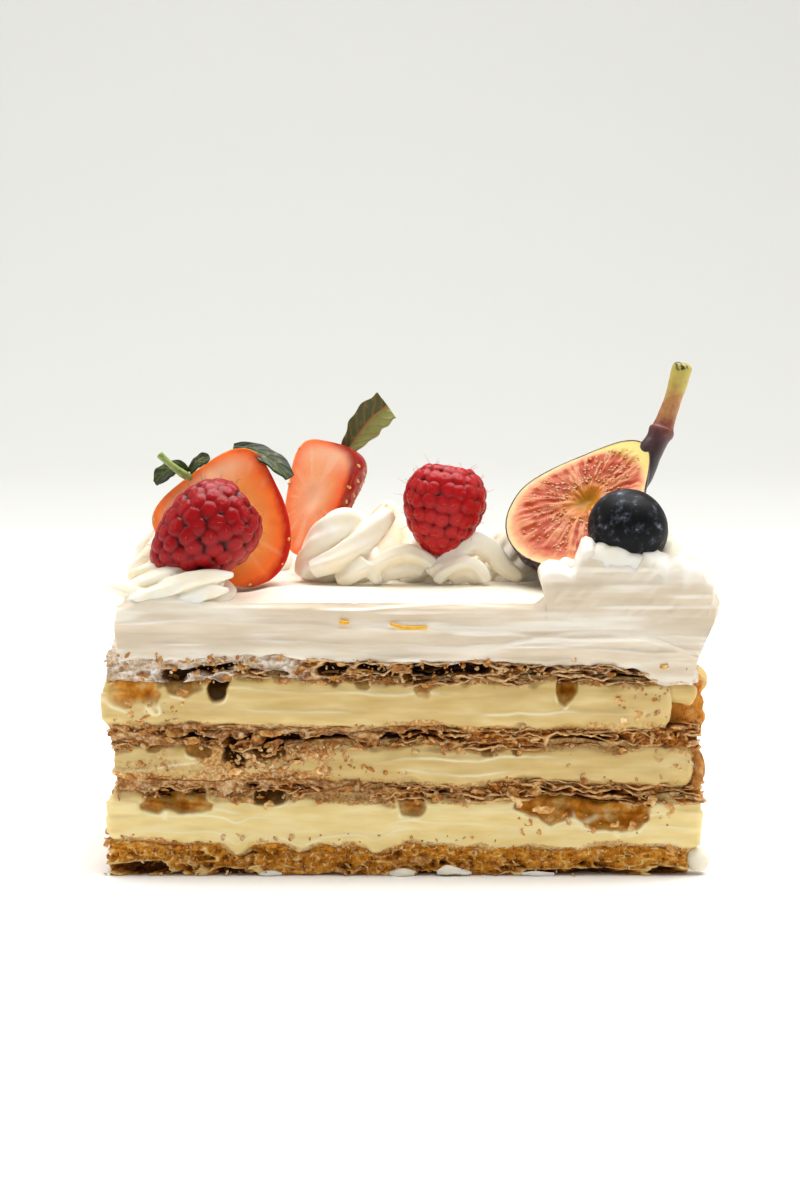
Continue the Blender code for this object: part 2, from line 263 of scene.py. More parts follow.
def add(tree, kind, inputs=None, stops=None, **settings):
    """Adds a node with its settings, what its inputs hold or read (a hex code is a colour) and stops."""
    made = tree.nodes.new("ShaderNode" + kind)
    for key, value in settings.items():
        setattr(made, key, value)
    for key, value in (inputs or {}).items():
        if isinstance(value, bpy.types.NodeSocket):
            tree.links.new(value, made.inputs[key])
        else:
            made.inputs[key].default_value = colour(value) if isinstance(value, str) else value
    if stops:
        ramp = made.color_ramp
        while len(ramp.elements) < len(stops):
            ramp.elements.new(0.5)
        for element, (at, code) in zip(ramp.elements, stops):
            element.position = at
            element.color = colour(code)
    return made


def start_finish(name, **values):
    """A new material: its tree, its Principled shader and the piece's own coordinates in millimetres.

    A noise of scale s on them has patches about 1 / s mm wide.
    """
    material = bpy.data.materials.new(name)
    material.use_nodes = True
    tree = material.node_tree
    shader = tree.nodes["Principled BSDF"]
    for key, value in values.items():
        shader.inputs[key.replace("_", " ")].default_value = value
    place = add(tree, "TexCoord").outputs["Object"]
    mm = add(tree, "Mapping", {"Vector": place, "Scale": (1000, 1000, 1000)}).outputs["Vector"]
    return material, tree, shader, mm


def use(tree, shader, base, height=None, strength=0.3, distance=0.3):
    """Links a finish's colour and the height that its bump reads, with the bump's depth in millimetres."""
    tree.links.new(base, shader.inputs["Base Color"])
    if height is not None:
        bump = add(tree, "Bump", {"Height": height, "Strength": strength, "Distance": distance * MM})
        tree.links.new(bump.outputs["Normal"], shader.inputs["Normal"])


def whipped_cream(name="whipped_cream", deep="#f3e6c8", light="#fdf8ec"):
    """Whipped cream: fat and air, matte and bright, its folds painted a warm yellow shade for the light that
    went through it and bounced in them.
    """
    material, tree, shader, mm = start_finish(
        name,
        Roughness=0.5,
        Subsurface_Weight=0.4,
        Subsurface_Radius=(1.0, 0.75, 0.4),
        Subsurface_Scale=0.0025,
        Specular_IOR_Level=0.3,
        IOR=1.45,
    )
    soft = add(tree, "TexNoise", {"Vector": mm, "Scale": 0.09, "Detail": 3.0, "Roughness": 0.6})
    plain = add(tree, "ValToRGB", {"Fac": soft.outputs["Fac"]}, stops=[(0.3, deep), (0.7, light)])
    # Painted shade: the deeper a point lies in a fold, the nearer its colour comes to warm yellow.
    fold = add(tree, "Attribute", attribute_name="fold").outputs["Fac"]
    base = add(
        tree, "Mix", {FACTOR: fold, COLOUR_A: plain.outputs["Color"], COLOUR_B: "#efd99a"}, data_type="RGBA"
    ).outputs[MIXED]
    fine = add(tree, "TexNoise", {"Vector": mm, "Scale": 1.4, "Detail": 4.0, "Roughness": 0.65})
    use(tree, shader, base, fine.outputs["Fac"], 0.15, 0.15)
    return material


def drawn_cream():
    """The same cream where a knife drew over it: soft long streaks of drier and wetter cream, its colours
    painted darker than the top's for the shade on the cut front.
    """
    material, tree, shader, mm = start_finish(
        "whipped_cream_cut",
        Roughness=0.45,
        Subsurface_Weight=0.35,
        Subsurface_Radius=(1.0, 0.75, 0.45),
        Subsurface_Scale=0.0025,
        Specular_IOR_Level=0.3,
        IOR=1.45,
    )
    long_way = add(tree, "Mapping", {"Vector": mm, "Scale": (0.05, 0.05, 0.3)}).outputs["Vector"]
    streak = add(tree, "TexNoise", {"Vector": long_way, "Scale": 1.0, "Detail": 3.0, "Roughness": 0.5})
    # Painted shade: these colours are darker and tanner than the whipped cream's.
    base = add(
        tree,
        "ValToRGB",
        {"Fac": streak.outputs["Fac"]},
        stops=[(0.3, "#d9c9b0"), (0.5, "#e5d7c1"), (0.7, "#f2e9d9")],
    ).outputs["Color"]
    # Painted highlight: the raised lips of the knife steps and the rolled top edge are coloured near white.
    lip = add(tree, "Attribute", attribute_name="lip").outputs["Fac"]
    lit = add(
        tree, "Mix", {FACTOR: lip, COLOUR_A: base, COLOUR_B: "#fffaf0"}, data_type="RGBA"
    ).outputs[MIXED]
    use(tree, shader, lit, streak.outputs["Fac"], 0.15, 0.3)
    return material


def custard_cream(name, low, middle, high):
    """Custard cream: cooked egg and butter, smooth, a little moist, with painted amber shade in its hollows."""
    material, tree, shader, mm = start_finish(
        name,
        Roughness=0.4,
        Subsurface_Weight=0.3,
        Subsurface_Radius=(1.0, 0.7, 0.25),
        Subsurface_Scale=0.002,
        Specular_IOR_Level=0.35,
        IOR=1.46,
    )
    long_way = add(tree, "Mapping", {"Vector": mm, "Scale": (0.1, 0.1, 0.45)}).outputs["Vector"]
    streak = add(tree, "TexNoise", {"Vector": long_way, "Scale": 1.0, "Detail": 2.5, "Roughness": 0.5})
    plain = add(
        tree,
        "ValToRGB",
        {"Fac": streak.outputs["Fac"]},
        stops=[(0.3, low), (0.52, middle), (0.72, high)],
    ).outputs["Color"]
    hollow = add(tree, "Attribute", attribute_name="hollow").outputs["Fac"]
    cloud = add(
        tree, "TexNoise", {"Vector": mm, "Scale": 0.3, "Detail": 3.0, "Roughness": 0.6}
    ).outputs["Fac"]
    # Painted shade: the inside of a hollow is coloured amber to orange, for the shade and the warm light
    # bounced in it.
    inner = add(
        tree,
        "ValToRGB",
        {"Fac": cloud},
        stops=[(0.34, "#c07010"), (0.45, "#de9024"), (0.55, "#f0b048"), (0.66, "#fad890")],
    ).outputs["Color"]
    turn = add(tree, "MapRange", {"Value": hollow, "From Min": 0.12, "From Max": 0.6}).outputs["Result"]
    deep = add(tree, "Attribute", attribute_name="deep").outputs["Fac"]
    lip = add(tree, "Attribute", attribute_name="lip").outputs["Fac"]
    opened = add(
        tree, "Mix", {FACTOR: turn, COLOUR_A: plain, COLOUR_B: inner}, data_type="RGBA"
    ).outputs[MIXED]
    # Painted shade: near black brown in the hollows that lie under the sheet above.
    amber = add(
        tree, "Mix", {FACTOR: deep, COLOUR_A: opened, COLOUR_B: "#3c2206"}, data_type="RGBA"
    ).outputs[MIXED]
    # Painted highlight: near white on the raised lips of the knife steps and on the hollows' lower rims.
    amber = add(
        tree, "Mix", {FACTOR: lip, COLOUR_A: amber, COLOUR_B: "#fdf2c8"}, data_type="RGBA"
    ).outputs[MIXED]
    dust = add(tree, "Attribute", attribute_name="dust").outputs["Fac"]
    grain = add(
        tree, "TexNoise", {"Vector": mm, "Scale": 1.0, "Detail": 5.0, "Roughness": 0.7}
    ).outputs["Fac"]
    spread = add(tree, "Math", {0: dust, 1: grain}, operation="ADD").outputs["Value"]
    where = add(tree, "MapRange", {"Value": spread, "From Min": 0.92, "From Max": 1.22}).outputs["Result"]
    tone = add(tree, "TexNoise", {"Vector": mm, "Scale": 1.6, "Detail": 3.0}).outputs["Fac"]
    brown = add(
        tree,
        "ValToRGB",
        {"Fac": tone},
        stops=[(0.3, "#a4662a"), (0.46, "#c8924e"), (0.6, "#e0b67a"), (0.72, "#f2dcac")],
    ).outputs["Color"]
    base = add(
        tree, "Mix", {FACTOR: where, COLOUR_A: amber, COLOUR_B: brown}, data_type="RGBA"
    ).outputs[MIXED]
    height = add(tree, "Math", {0: where, 1: grain}, operation="MULTIPLY").outputs["Value"]
    use(tree, shader, base, height, 0.5, 0.5)
    return material


def baked_leaf(name, dark, mid, gold, pale, rim, smears=("#a67c54", "#d2b69a", "#ead9c6")):
    """Baked puff pastry: dry blistered leaves, caramel brown, painted dark in their gaps for their shade, and
    paler where torn with a painted highlight there.
    """
    material, tree, shader, mm = start_finish(name, Roughness=0.65, Specular_IOR_Level=0.25, IOR=1.45)
    patch = add(
        tree, "TexNoise", {"Vector": mm, "Scale": 0.55, "Detail": 6.0, "Roughness": 0.75}
    ).outputs["Fac"]
    crust = add(
        tree, "ValToRGB", {"Fac": patch}, stops=[(0.34, dark), (0.46, mid), (0.56, gold), (0.7, pale)]
    ).outputs["Color"]
    # Painted shade: the deeper a leaf or pore lies, the nearer its colour comes to the darkest brown.
    deep = add(tree, "Attribute", attribute_name="deep").outputs["Fac"]
    gap_shaded = add(tree, "Mix", {FACTOR: deep, COLOUR_A: crust, COLOUR_B: dark}, data_type="RGBA").outputs[MIXED]
    # Torn edges: paler, with a painted highlight, mixed towards the rim colour.
    edge = add(tree, "Attribute", attribute_name="edge").outputs["Fac"]
    fleck = add(
        tree, "TexNoise", {"Vector": mm, "Scale": 1.3, "Detail": 4.0, "Roughness": 0.7}
    ).outputs["Fac"]
    lit = add(tree, "Math", {0: edge, 1: fleck}, operation="MULTIPLY").outputs["Value"]
    amount = add(tree, "MapRange", {"Value": lit, "From Min": 0.18, "From Max": 0.5}).outputs["Result"]
    base = add(tree, "Mix", {FACTOR: amount, COLOUR_A: gap_shaded, COLOUR_B: rim}, data_type="RGBA").outputs[MIXED]
    smear = add(tree, "Attribute", attribute_name="smear").outputs["Fac"]
    dotted = add(tree, "Math", {0: smear, 1: fleck}, operation="ADD").outputs["Value"]
    covered = add(tree, "MapRange", {"Value": dotted, "From Min": 0.85, "From Max": 1.2}).outputs["Result"]
    cream = add(
        tree, "ValToRGB", {"Fac": patch}, stops=[(0.4, smears[0]), (0.5, smears[1]), (0.62, smears[2])]
    ).outputs["Color"]
    smeared_over = add(
        tree, "Mix", {FACTOR: covered, COLOUR_A: base, COLOUR_B: cream}, data_type="RGBA"
    ).outputs[MIXED]
    use(tree, shader, smeared_over, fleck, 0.8, 0.6)
    return material


def berry_flesh(name, deep, mid, light):
    """Raspberry: thin wet skin over clear juice, painted almost black in the valleys for their shade and
    lighter on each bead's top for its highlight.
    """
    material, tree, shader, mm = start_finish(
        name,
        Roughness=0.38,
        Subsurface_Weight=0.3,
        Subsurface_Radius=(1.0, 0.06, 0.05),
        Subsurface_Scale=0.0014,
        Specular_IOR_Level=0.2,
        IOR=1.38,
        Coat_Weight=0.2,
        Coat_Roughness=0.08,
    )
    # Painted shade and highlight: darkest in the valleys between beads, lightest on their tops.
    dome = add(tree, "Attribute", attribute_name="dome").outputs["Fac"]
    patch = add(
        tree, "TexNoise", {"Vector": mm, "Scale": 0.5, "Detail": 4.0, "Roughness": 0.6}
    ).outputs["Fac"]
    sway = add(tree, "Math", {0: patch, 1: 0.35, 2: -0.17}, operation="MULTIPLY_ADD").outputs["Value"]
    where = add(tree, "Math", {0: dome, 1: sway}, operation="ADD").outputs["Value"]
    base = add(tree, "ValToRGB", {"Fac": where}, stops=[(0.15, deep), (0.6, mid), (1.0, light)])
    fine = add(tree, "TexNoise", {"Vector": mm, "Scale": 2.2, "Detail": 3.0}).outputs["Fac"]
    use(tree, shader, base.outputs["Color"], fine, 0.15, 0.1)
    return material


def plain_finish(name, stops, scale, detail=4.0, bump=0.2, deep=0.15, **values):
    """A finish of one natural stuff: colours that drift over a noise of that scale, and a fine relief."""
    material, tree, shader, mm = start_finish(name, **values)
    patch = add(tree, "TexNoise", {"Vector": mm, "Scale": scale, "Detail": detail, "Roughness": 0.65})
    base = add(tree, "ValToRGB", {"Fac": patch.outputs["Fac"]}, stops=stops)
    use(tree, shader, base.outputs["Color"], patch.outputs["Fac"], bump, deep)
    return material


def strawberry_flesh(name, heart, flesh, rim_flesh, skin, fibres):
    """Cut strawberry: wet translucent flesh with pale fibres that run out from the heart, and a red skin."""
    material, tree, shader, mm = start_finish(
        name,
        Roughness=0.38,
        Subsurface_Weight=0.4,
        Subsurface_Radius=(1.0, 0.42, 0.18),
        Subsurface_Scale=0.004,
        Specular_IOR_Level=0.3,
        IOR=1.38,
    )
    across = add(tree, "Attribute", attribute_name="across").outputs["Fac"]
    fibre = add(tree, "Attribute", attribute_name="fibre").outputs["Fac"]
    shoulder = add(tree, "Attribute", attribute_name="shoulder").outputs["Fac"]
    patch = add(
        tree, "TexNoise", {"Vector": mm, "Scale": 0.35, "Detail": 4.0, "Roughness": 0.6}
    ).outputs["Fac"]
    shift = add(tree, "Math", {0: patch, 1: 0.16, 2: -0.08}, operation="MULTIPLY_ADD").outputs["Value"]
    where = add(tree, "Math", {0: across, 1: shift}, operation="ADD").outputs["Value"]
    radial = add(
        tree, "ValToRGB", {"Fac": where}, stops=[(0.1, heart), (0.5, flesh), (0.84, rim_flesh), (0.99, skin)]
    ).outputs["Color"]
    drawn = add(tree, "Math", {0: fibre, 1: fibres}, operation="MULTIPLY").outputs["Value"]
    pale = add(
        tree, "Mix", {FACTOR: drawn, COLOUR_A: radial, COLOUR_B: "#ffd9b0"}, data_type="RGBA"
    ).outputs[MIXED]
    whole = add(
        tree, "Mix", {FACTOR: shoulder, COLOUR_A: pale, COLOUR_B: "#ffe0b8"}, data_type="RGBA"
    ).outputs[MIXED]
    skinned = add(tree, "Attribute", attribute_name="skin").outputs["Fac"]
    base = add(
        tree, "Mix", {FACTOR: skinned, COLOUR_A: whole, COLOUR_B: skin}, data_type="RGBA"
    ).outputs[MIXED]
    fine = add(tree, "TexNoise", {"Vector": mm, "Scale": 1.6, "Detail": 4.0}).outputs["Fac"]
    use(tree, shader, base, fine, 0.3, 0.2)
    return material


def fig_flesh():
    """Cut ripe fig: dark skin, a ring of cream coloured pith, and a wet salmon heart of fibres and seeds."""
    material, tree, shader, mm = start_finish(
        "fig_flesh",
        Roughness=0.36,
        Subsurface_Weight=0.25,
        Subsurface_Radius=(1.0, 0.5, 0.25),
        Subsurface_Scale=0.0016,
        Specular_IOR_Level=0.25,
        IOR=1.38,
    )
    across = add(tree, "Attribute", attribute_name="across").outputs["Fac"]
    patch = add(
        tree, "TexNoise", {"Vector": mm, "Scale": 0.4, "Detail": 5.0, "Roughness": 0.65}
    ).outputs["Fac"]
    sway = add(tree, "Math", {0: patch, 1: 0.16, 2: -0.08}, operation="MULTIPLY_ADD").outputs["Value"]
    where = add(tree, "Math", {0: across, 1: sway}, operation="ADD").outputs["Value"]
    radial = add(
        tree,
        "ValToRGB",
        {"Fac": where},
        stops=[
            (0.08, "#a8700c"),
            (0.2, "#bc6e18"),
            (0.45, "#a83e1e"),
            (0.8, "#b84c2a"),
            (0.88, "#dc8c62"),
            (0.93, "#eeb888"),
            (0.96, "#e8cc90"),
        ],
    ).outputs["Color"]
    fibre = add(tree, "Attribute", attribute_name="fibre").outputs["Fac"]
    neck = add(tree, "Attribute", attribute_name="neck").outputs["Fac"]
    drawn = add(
        tree, "Mix", {FACTOR: fibre, COLOUR_A: radial, COLOUR_B: "#eaa878"}, data_type="RGBA"
    ).outputs[MIXED]
    fibres = add(
        tree, "Mix", {FACTOR: neck, COLOUR_A: drawn, COLOUR_B: "#d6c26c"}, data_type="RGBA"
    ).outputs[MIXED]
    skinned = add(tree, "Attribute", attribute_name="skin").outputs["Fac"]
    dusk = add(tree, "TexNoise", {"Vector": mm, "Scale": 0.6, "Detail": 4.0}).outputs["Fac"]
    skin = add(
        tree, "ValToRGB", {"Fac": dusk}, stops=[(0.3, "#231b22"), (0.55, "#3b2c31"), (0.8, "#5e4640")]
    ).outputs["Color"]
    base = add(
        tree, "Mix", {FACTOR: skinned, COLOUR_A: fibres, COLOUR_B: skin}, data_type="RGBA"
    ).outputs[MIXED]
    use(tree, shader, base, patch, 0.35, 0.3)
    return material


def run_finish(name, stops, scale, **values):
    """A stalk: colours that change along its run, with fine lengthwise mottling."""
    material, tree, shader, mm = start_finish(name, **values)
    run = add(tree, "Attribute", attribute_name="run").outputs["Fac"]
    patch = add(tree, "TexNoise", {"Vector": mm, "Scale": scale, "Detail": 4.0}).outputs["Fac"]
    sway = add(tree, "Math", {0: patch, 1: 0.24, 2: -0.12}, operation="MULTIPLY_ADD").outputs["Value"]
    where = add(tree, "Math", {0: run, 1: sway}, operation="ADD").outputs["Value"]
    base = add(tree, "ValToRGB", {"Fac": where}, stops=stops)
    use(tree, shader, base.outputs["Color"], patch, 0.4, 0.3)
    return material


def leaf_finish(name, dark, light, vein):
    """A fresh leaf: waxy, darker between pale veins."""
    material, tree, shader, mm = start_finish(name, Roughness=0.45, Specular_IOR_Level=0.4)
    rib = add(tree, "Attribute", attribute_name="rib").outputs["Fac"]
    half = add(tree, "Attribute", attribute_name="half").outputs["Fac"]
    ground = add(
        tree, "Mix", {FACTOR: half, COLOUR_A: dark, COLOUR_B: light}, data_type="RGBA"
    ).outputs[MIXED]
    patch = add(tree, "TexNoise", {"Vector": mm, "Scale": 0.8, "Detail": 4.0}).outputs["Fac"]
    dry = add(tree, "MapRange", {"Value": patch, "From Min": 0.56, "From Max": 0.75}).outputs["Result"]
    spotted = add(
        tree, "Mix", {FACTOR: dry, COLOUR_A: ground, COLOUR_B: "#8d7a34"}, data_type="RGBA"
    ).outputs[MIXED]
    veined = add(
        tree, "Mix", {FACTOR: rib, COLOUR_A: spotted, COLOUR_B: vein}, data_type="RGBA"
    ).outputs[MIXED]
    use(tree, shader, veined, rib, 0.5, 0.3)
    return material


# ---------------------------------------------------------------- round the slice

CORNER = 1.0  # radius of the slice's upright edges
FINE_FRONT = 1.9  # how much closer together the columns are on the cut front


def outline():
    """The slice's plan, round from the middle of its back: points, directions and share of the way."""
    a, b = LENGTH / 2 - CORNER, DEPTH / 2 - CORNER
    spots, turns = [(0.0, DEPTH / 2)], [90]
    for x, y, first in ((-a, b, 90), (-a, -b, 180), (a, -b, 270), (a, b, 360)):
        for step in range(0, 91, 15):
            turn = math.radians(first + step)
            spots.append((x + CORNER * math.cos(turn), y + CORNER * math.sin(turn)))
            turns.append(first + step)
    spots.append((0.0, DEPTH / 2))
    turns.append(450)
    spots = np.array(spots)
    run = np.linalg.norm(np.diff(spots, axis=0), axis=1)
    front = spots[1:, 1] < FRONT + 2
    share = np.concatenate([[0], np.cumsum(run * np.where(front, FINE_FRONT, 1))])
    return spots, np.radians(turns), share / share[-1]


PLAN, TURNS, SHARE = outline()


def around(u):
    """The plan's points and outward directions at u from 0 to 1."""
    x, y = (np.interp(u, SHARE, PLAN[:, axis]) for axis in (0, 1))
    turn = np.interp(u, SHARE, TURNS)
    return x, y, np.cos(turn), np.sin(turn)


def inside(x, y, inset):
    """The same point of a plan that is smaller all round by inset."""
    return x * (1 - 2 * inset / LENGTH), y * (1 - 2 * inset / DEPTH)


def fitted(x, left, right):
    """X of a layer whose ends reach left and right past the slice's length."""
    return x * (1 + 2 * np.where(x < 0, left, right) / LENGTH)


def ring(name, columns, rows, profile, left=0.0, right=0.0, fill=True):
    """A closed band round the slice; profile(x, y, v) gives inset, reach outwards, height and marks."""

    def shape(u, v):
        x, y, nx, ny = around(u)
        inset, out, z, marks = profile(x, y, v)
        px, py = inside(x, y, inset)
        return spots_of(fitted(px, left, right) + nx * out, py + ny * out, z), marks

    return close(bent_grid(name, columns, rows, shape), fill)


# ---------------------------------------------------------------- puff pastry

# Every sheet: its lower and upper height, how far its ends reach past the slice's, its leaves, how far
# their edges come out, how far its foot and its crest slope down to the right, and how much of its left
# part the knife smeared with cream.
Sheet = namedtuple("Sheet", "node low high left right leaves reach foot_slope crest_slope smeared")
SHEETS = [
    Sheet("pastry_sheet_1", 0.0, 6.6, 0.6, -2.0, 3, -0.5, 0.0, 0.5, 0.12),
    Sheet("pastry_sheet_2", 16.2, 19.9, -1.4, 0.6, 4, 0.1, 0.7, 0.7, 0.8),
    Sheet("pastry_sheet_3", 27.0, 31.2, -0.2, 0.0, 4, 0.1, 0.4, 0.6, 0.7),
    Sheet("pastry_sheet_4", 40.6, 45.0, 0.4, -0.6, 5, 0.2, 0.7, 1.5, 0.85),
]
LEAF_COLUMNS, LEAF_ROWS = 1000, 10
HEART_COLUMNS = 1250
LEAF_REACH = 5.0  # how far in a leaf is modelled
DIPS = [(-34.7, 2.6, 2.3), (-21.4, 2.2, 2.6), (-6.1, 1.8, 2.2), (31.0, 1.2, 6.0)]  # where custard sinks in


def sway(sheet, edge):
    """How far a whole sheet rises and falls along the edge."""
    slow, quick = noise(edge, 15, 40 + sheet), noise(edge, 5.5, 50 + sheet)
    return 0.55 * slow + 0.4 * quick + 0.16 * noise(edge, 2.2, 55 + sheet)


def foot(sheet, edge):
    """Height of a sheet's lower side along the edge."""
    row = SHEETS[sheet]
    if sheet == 0:
        return np.full(len(edge), row.low)
    level = row.low - row.foot_slope * edge[:, 0] / (LENGTH / 2) + sway(sheet, edge)
    return level - 0.55 * noise(edge, 7, 140 + sheet)


def crest(sheet, edge):
    """Height of a sheet's upper side along the edge."""
    row = SHEETS[sheet]
    level = row.high - row.crest_slope * edge[:, 0] / (LENGTH / 2) + sway(sheet, edge)
    level = level + 0.35 * noise(edge, 7, 145 + sheet)
    if sheet == 0:
        for middle, drop, width in DIPS:
            level = level - drop * bell(edge[:, 0] - middle, width) * (edge[:, 1] < 0)
    return level


SMEARED_TO = (-62, -4, -2, -24)  # how far along X the knife dragged cream over each sheet


def smeared(sheet, at):
    """Where the knife dragged a skin of cream and crumbs over a sheet's edge, from 0 to 1."""
    x = at[:, 0]
    low, high = foot(sheet, at), crest(sheet, at)
    rise = (at[:, 2] - low) / (high - low)
    patch = smooth(-0.5, 0.0, noise(at, (5, 5, 1.4), 150 + sheet) + 0.9 * (rise - 0.3))
    ends = SMEARED_TO[sheet] + 9, SMEARED_TO[sheet] - 9
    spread = SHEETS[sheet].smeared * smooth(*ends, x + 6 * noise(at, 4, 155 + sheet)) * patch
    spread = np.maximum(spread, 0.4 * smooth(0.2, 0.7, noise(at, (7, 7, 1.6), 160 + sheet)))
    if sheet == 3:
        spread = np.maximum(spread, 0.95 * (smooth(-48, -54, x) + smooth(50, 55, x)))
    return np.clip(spread, 0, 1)


# Wide dark gaps between the leaves on the front: sheet, middle, width, level in the sheet and height.
GAPS = [
    (0, -55.0, 12.0, 0.2, 2.6),
    (0, -36.0, 11.0, 0.1, 2.2),
    (0, 38.0, 27.0, 0.06, 1.9),
    (0, 57.0, 9.0, 0.1, 2.4),
    (0, 3.0, 14.0, 0.02, 1.4),
    (1, -32.4, 3.6, 0.7, 1.6),
    (1, -50.0, 7.0, 0.1, 2.6),
    (1, -43.0, 8.0, 0.25, 1.8),
    (1, -29.8, 14.0, 0.1, 2.2),
    (1, -14.5, 15.0, 0.1, 1.8),
    (1, 36.0, 17.0, 0.02, 1.5),
    (1, 54.0, 8.0, 0.3, 1.6),
    (2, -55.9, 3.8, 0.8, 1.5),
    (2, -43.8, 12.0, 0.4, 1.4),
    (2, -36.9, 3.0, 0.3, 3.0),
    (2, -27.5, 12.0, 0.4, 2.4),
    (2, -15.9, 9.0, 0.25, 2.8),
    (2, -3.4, 5.0, 0.3, 2.8),
    (2, 0.8, 2.8, 0.95, 2.2),
    (2, 5.0, 10.0, 0.12, 1.4),
    (2, 36.0, 15.0, 0.3, 1.6),
    (3, -48.0, 6.5, 0.3, 3.0),
    (3, -39.4, 11.0, 0.46, 2.0),
    (3, -26.0, 5.0, 0.2, 1.3),
    (3, -15.1, 7.5, 0.45, 2.8),
    (3, -7.1, 5.0, 0.6, 1.4),
    (3, -3.6, 5.5, 0.1, 2.2),
    (3, 9.8, 17.5, 0.55, 2.8),
    (3, 27.0, 8.0, 0.3, 1.2),
    (3, 47.0, 9.0, 0.3, 1.4),
]


def gap_share(sheet, x, y, z, low, high):
    """How far inside a wide gap a point lies, from 0 to 1, and how near it is to the gap's torn rim."""
    at = spots_of(x, y, z)
    ragged = 0.34 * noise(at, (2.4, 2.4, 1.0), 170 + sheet) + 0.2 * noise(at, (0.9, 0.9, 0.6), 175 + sheet)
    share, rim = np.zeros_like(x), np.zeros_like(x)
    for of_sheet, middle, width, level, tall in GAPS:
        if of_sheet == sheet:
            rise = z - low - level * (high - low)
            off = np.hypot((x - middle) / (width / 2), rise / (tall / 2)) + ragged
            share = np.maximum(share, smooth(1.1, 0.85, off))
            rim = np.maximum(rim, bell(off - 1.2, 0.14))
    front = y < FRONT + 2
    return share * front, rim * front * (1 - share)


def pastry_leaf(sheet, k):
    """One thin leaf: torn along its edge, blistered, and hanging where it stands free."""
    row = SHEETS[sheet]
    seed = 200 + 40 * sheet + 5 * k
    grainy = sheet == 0

    def profile(x, y, v):
        side = 2 * v - 1
        inset = LEAF_REACH * np.abs(side) ** 1.7
        edge = spots_of(x, y, 0.0)
        px, py = inside(x, y, inset)
        at = spots_of(px, py, 0.0)
        torn = 1.5 * noise(edge, 6.5, seed) + 1.2 * noise(edge, 2.4, seed + 1)
        torn = torn + 0.8 * noise(edge, 0.95, seed + 2)
        out = np.clip(row.reach - 0.35 + torn, -4.0, 0.85 if sheet else 0.6)
        low, high = foot(sheet, edge), crest(sheet, edge)
        level = low + (k + 0.35) / (row.leaves - 0.3) * (high - low)
        blister = 0.8 * noise(at, 4.5, seed + 3) + 0.5 * noise(at, 1.8, seed + 4)
        blister = blister + 0.26 * noise(at, 0.7, seed)
        level = level + blister * (0.6 if k in (0, row.leaves - 1) else 1.0)
        gap, _ = gap_share(sheet, x, y, level, low, high)
        covered = smeared(sheet, edge + (0, 0, 1) * level[:, None])
        out = out - 3.4 * gap - 1.5 * covered - (1.2 if grainy else 0.0)
        droop = 0.55 if k == 0 and sheet else 0.1
        hang = smooth(2.6, 0.0, inset) * (0.8 * noise(edge, 3.4, seed + 4) - droop)
        thick = 0.19 + 0.11 * noise(edge, 2.4, seed + 3)
        round_off = np.sqrt(np.clip(inset / 0.35, 0, 1)) * smooth(0, 0.8, LEAF_REACH - inset)
        z = level + hang + np.sign(side) * thick * round_off
        # Edge mark: paler torn edges with a painted highlight; deep mark: painted shade on leaves lying further
        # in.
        free = smooth(1.3, 0.0, inset) * smooth(-2.2, 0.4, out)
        marks = {"edge": free, "smear": smeared(sheet, at + (0, 0, 1) * z[:, None]) * smooth(3, 1, inset)}
        marks["deep"] = smooth(0.8, 3.5, inset - out)
        return inset, out, np.clip(z, 0.03, None), marks

    return ring(f"leaf_{sheet}_{k}", LEAF_COLUMNS, LEAF_ROWS, profile, row.left, row.right, fill=False)


def pastry_heart(sheet):
    """The broken edge of the baked crumb: thin walls round blisters and pores, some of them deep."""
    row = SHEETS[sheet]
    seed = 90 + 9 * sheet
    grainy = sheet == 0

    def profile(x, y, v):
        edge = spots_of(x, y, 0.0)
        rise = np.clip((v - 0.07) / 0.86, 0, 1)
        wall = smooth(0.0, 0.07, v) * smooth(1.0, 0.93, v)
        low, high = foot(sheet, edge), crest(sheet, edge)
        z = low + 0.1 + (high - low - 0.2) * rise
        at = spots_of(x, y, z)
        bent = spots_of(x, y, z + 0.7 * noise(edge, 3.5, seed))
        blister = np.abs(noise(bent, (1.9, 1.9, 1.1) if grainy else (3.6, 3.6, 1.1), seed + 1))
        pore = np.abs(noise(at, (0.9, 0.9, 0.6), seed + 2))
        region = noise(at, (9, 9, 3), seed + 3)
        hole = smooth(0.1, 0.5, blister) * smooth(-0.35, 0.3, region - (0.3 if grainy else 0.0))
        smear = smeared(sheet, at)
        depth = 0.45 + (2.6 - 1.2 * grainy) * hole + 0.6 * smooth(0.1, 0.6, pore)
        depth = depth + 0.3 * noise(at, 2.0, seed + 4)
        gap, rim = gap_share(sheet, x, y, z, low, high)
        depth = depth * (1 - 0.8 * smear) * (1 - 0.7 * rim) + (1.7 if grainy else 3.2) * gap
        inset = np.clip(depth, 0.05, 4.4) + 3.0 * (1 - wall)
        # Painted highlight on the thin walls round blisters and pores and on the torn rims of gaps, and painted
        # shade where the crumb lies deep.
        bright = smooth(0.18, 0.03, blister) + 0.7 * smooth(0.2, 0.04, pore)
        lit = np.maximum(np.clip(bright, 0, 1) * smooth(1.6, 0.5, depth) * 0.8, rim)
        marks = {"edge": lit, "smear": smear * (1 - gap)}
        marks["deep"] = smooth(0.9, 2.6, depth)
        return inset, np.zeros_like(x), np.clip(z, 0.05, None), marks

    return ring(f"heart_{sheet}", HEART_COLUMNS, 30 if sheet else 40, profile, row.left, row.right)


def pastry_sheet(sheet, material):
    node = SHEETS[sheet].node
    leaves = [pastry_leaf(sheet, k) for k in range(SHEETS[sheet].leaves)]
    whole = joined(node + "_leaves", [pastry_heart(sheet), *leaves])
    return piece(node + "_leaves", whole, material, "pastry", node)
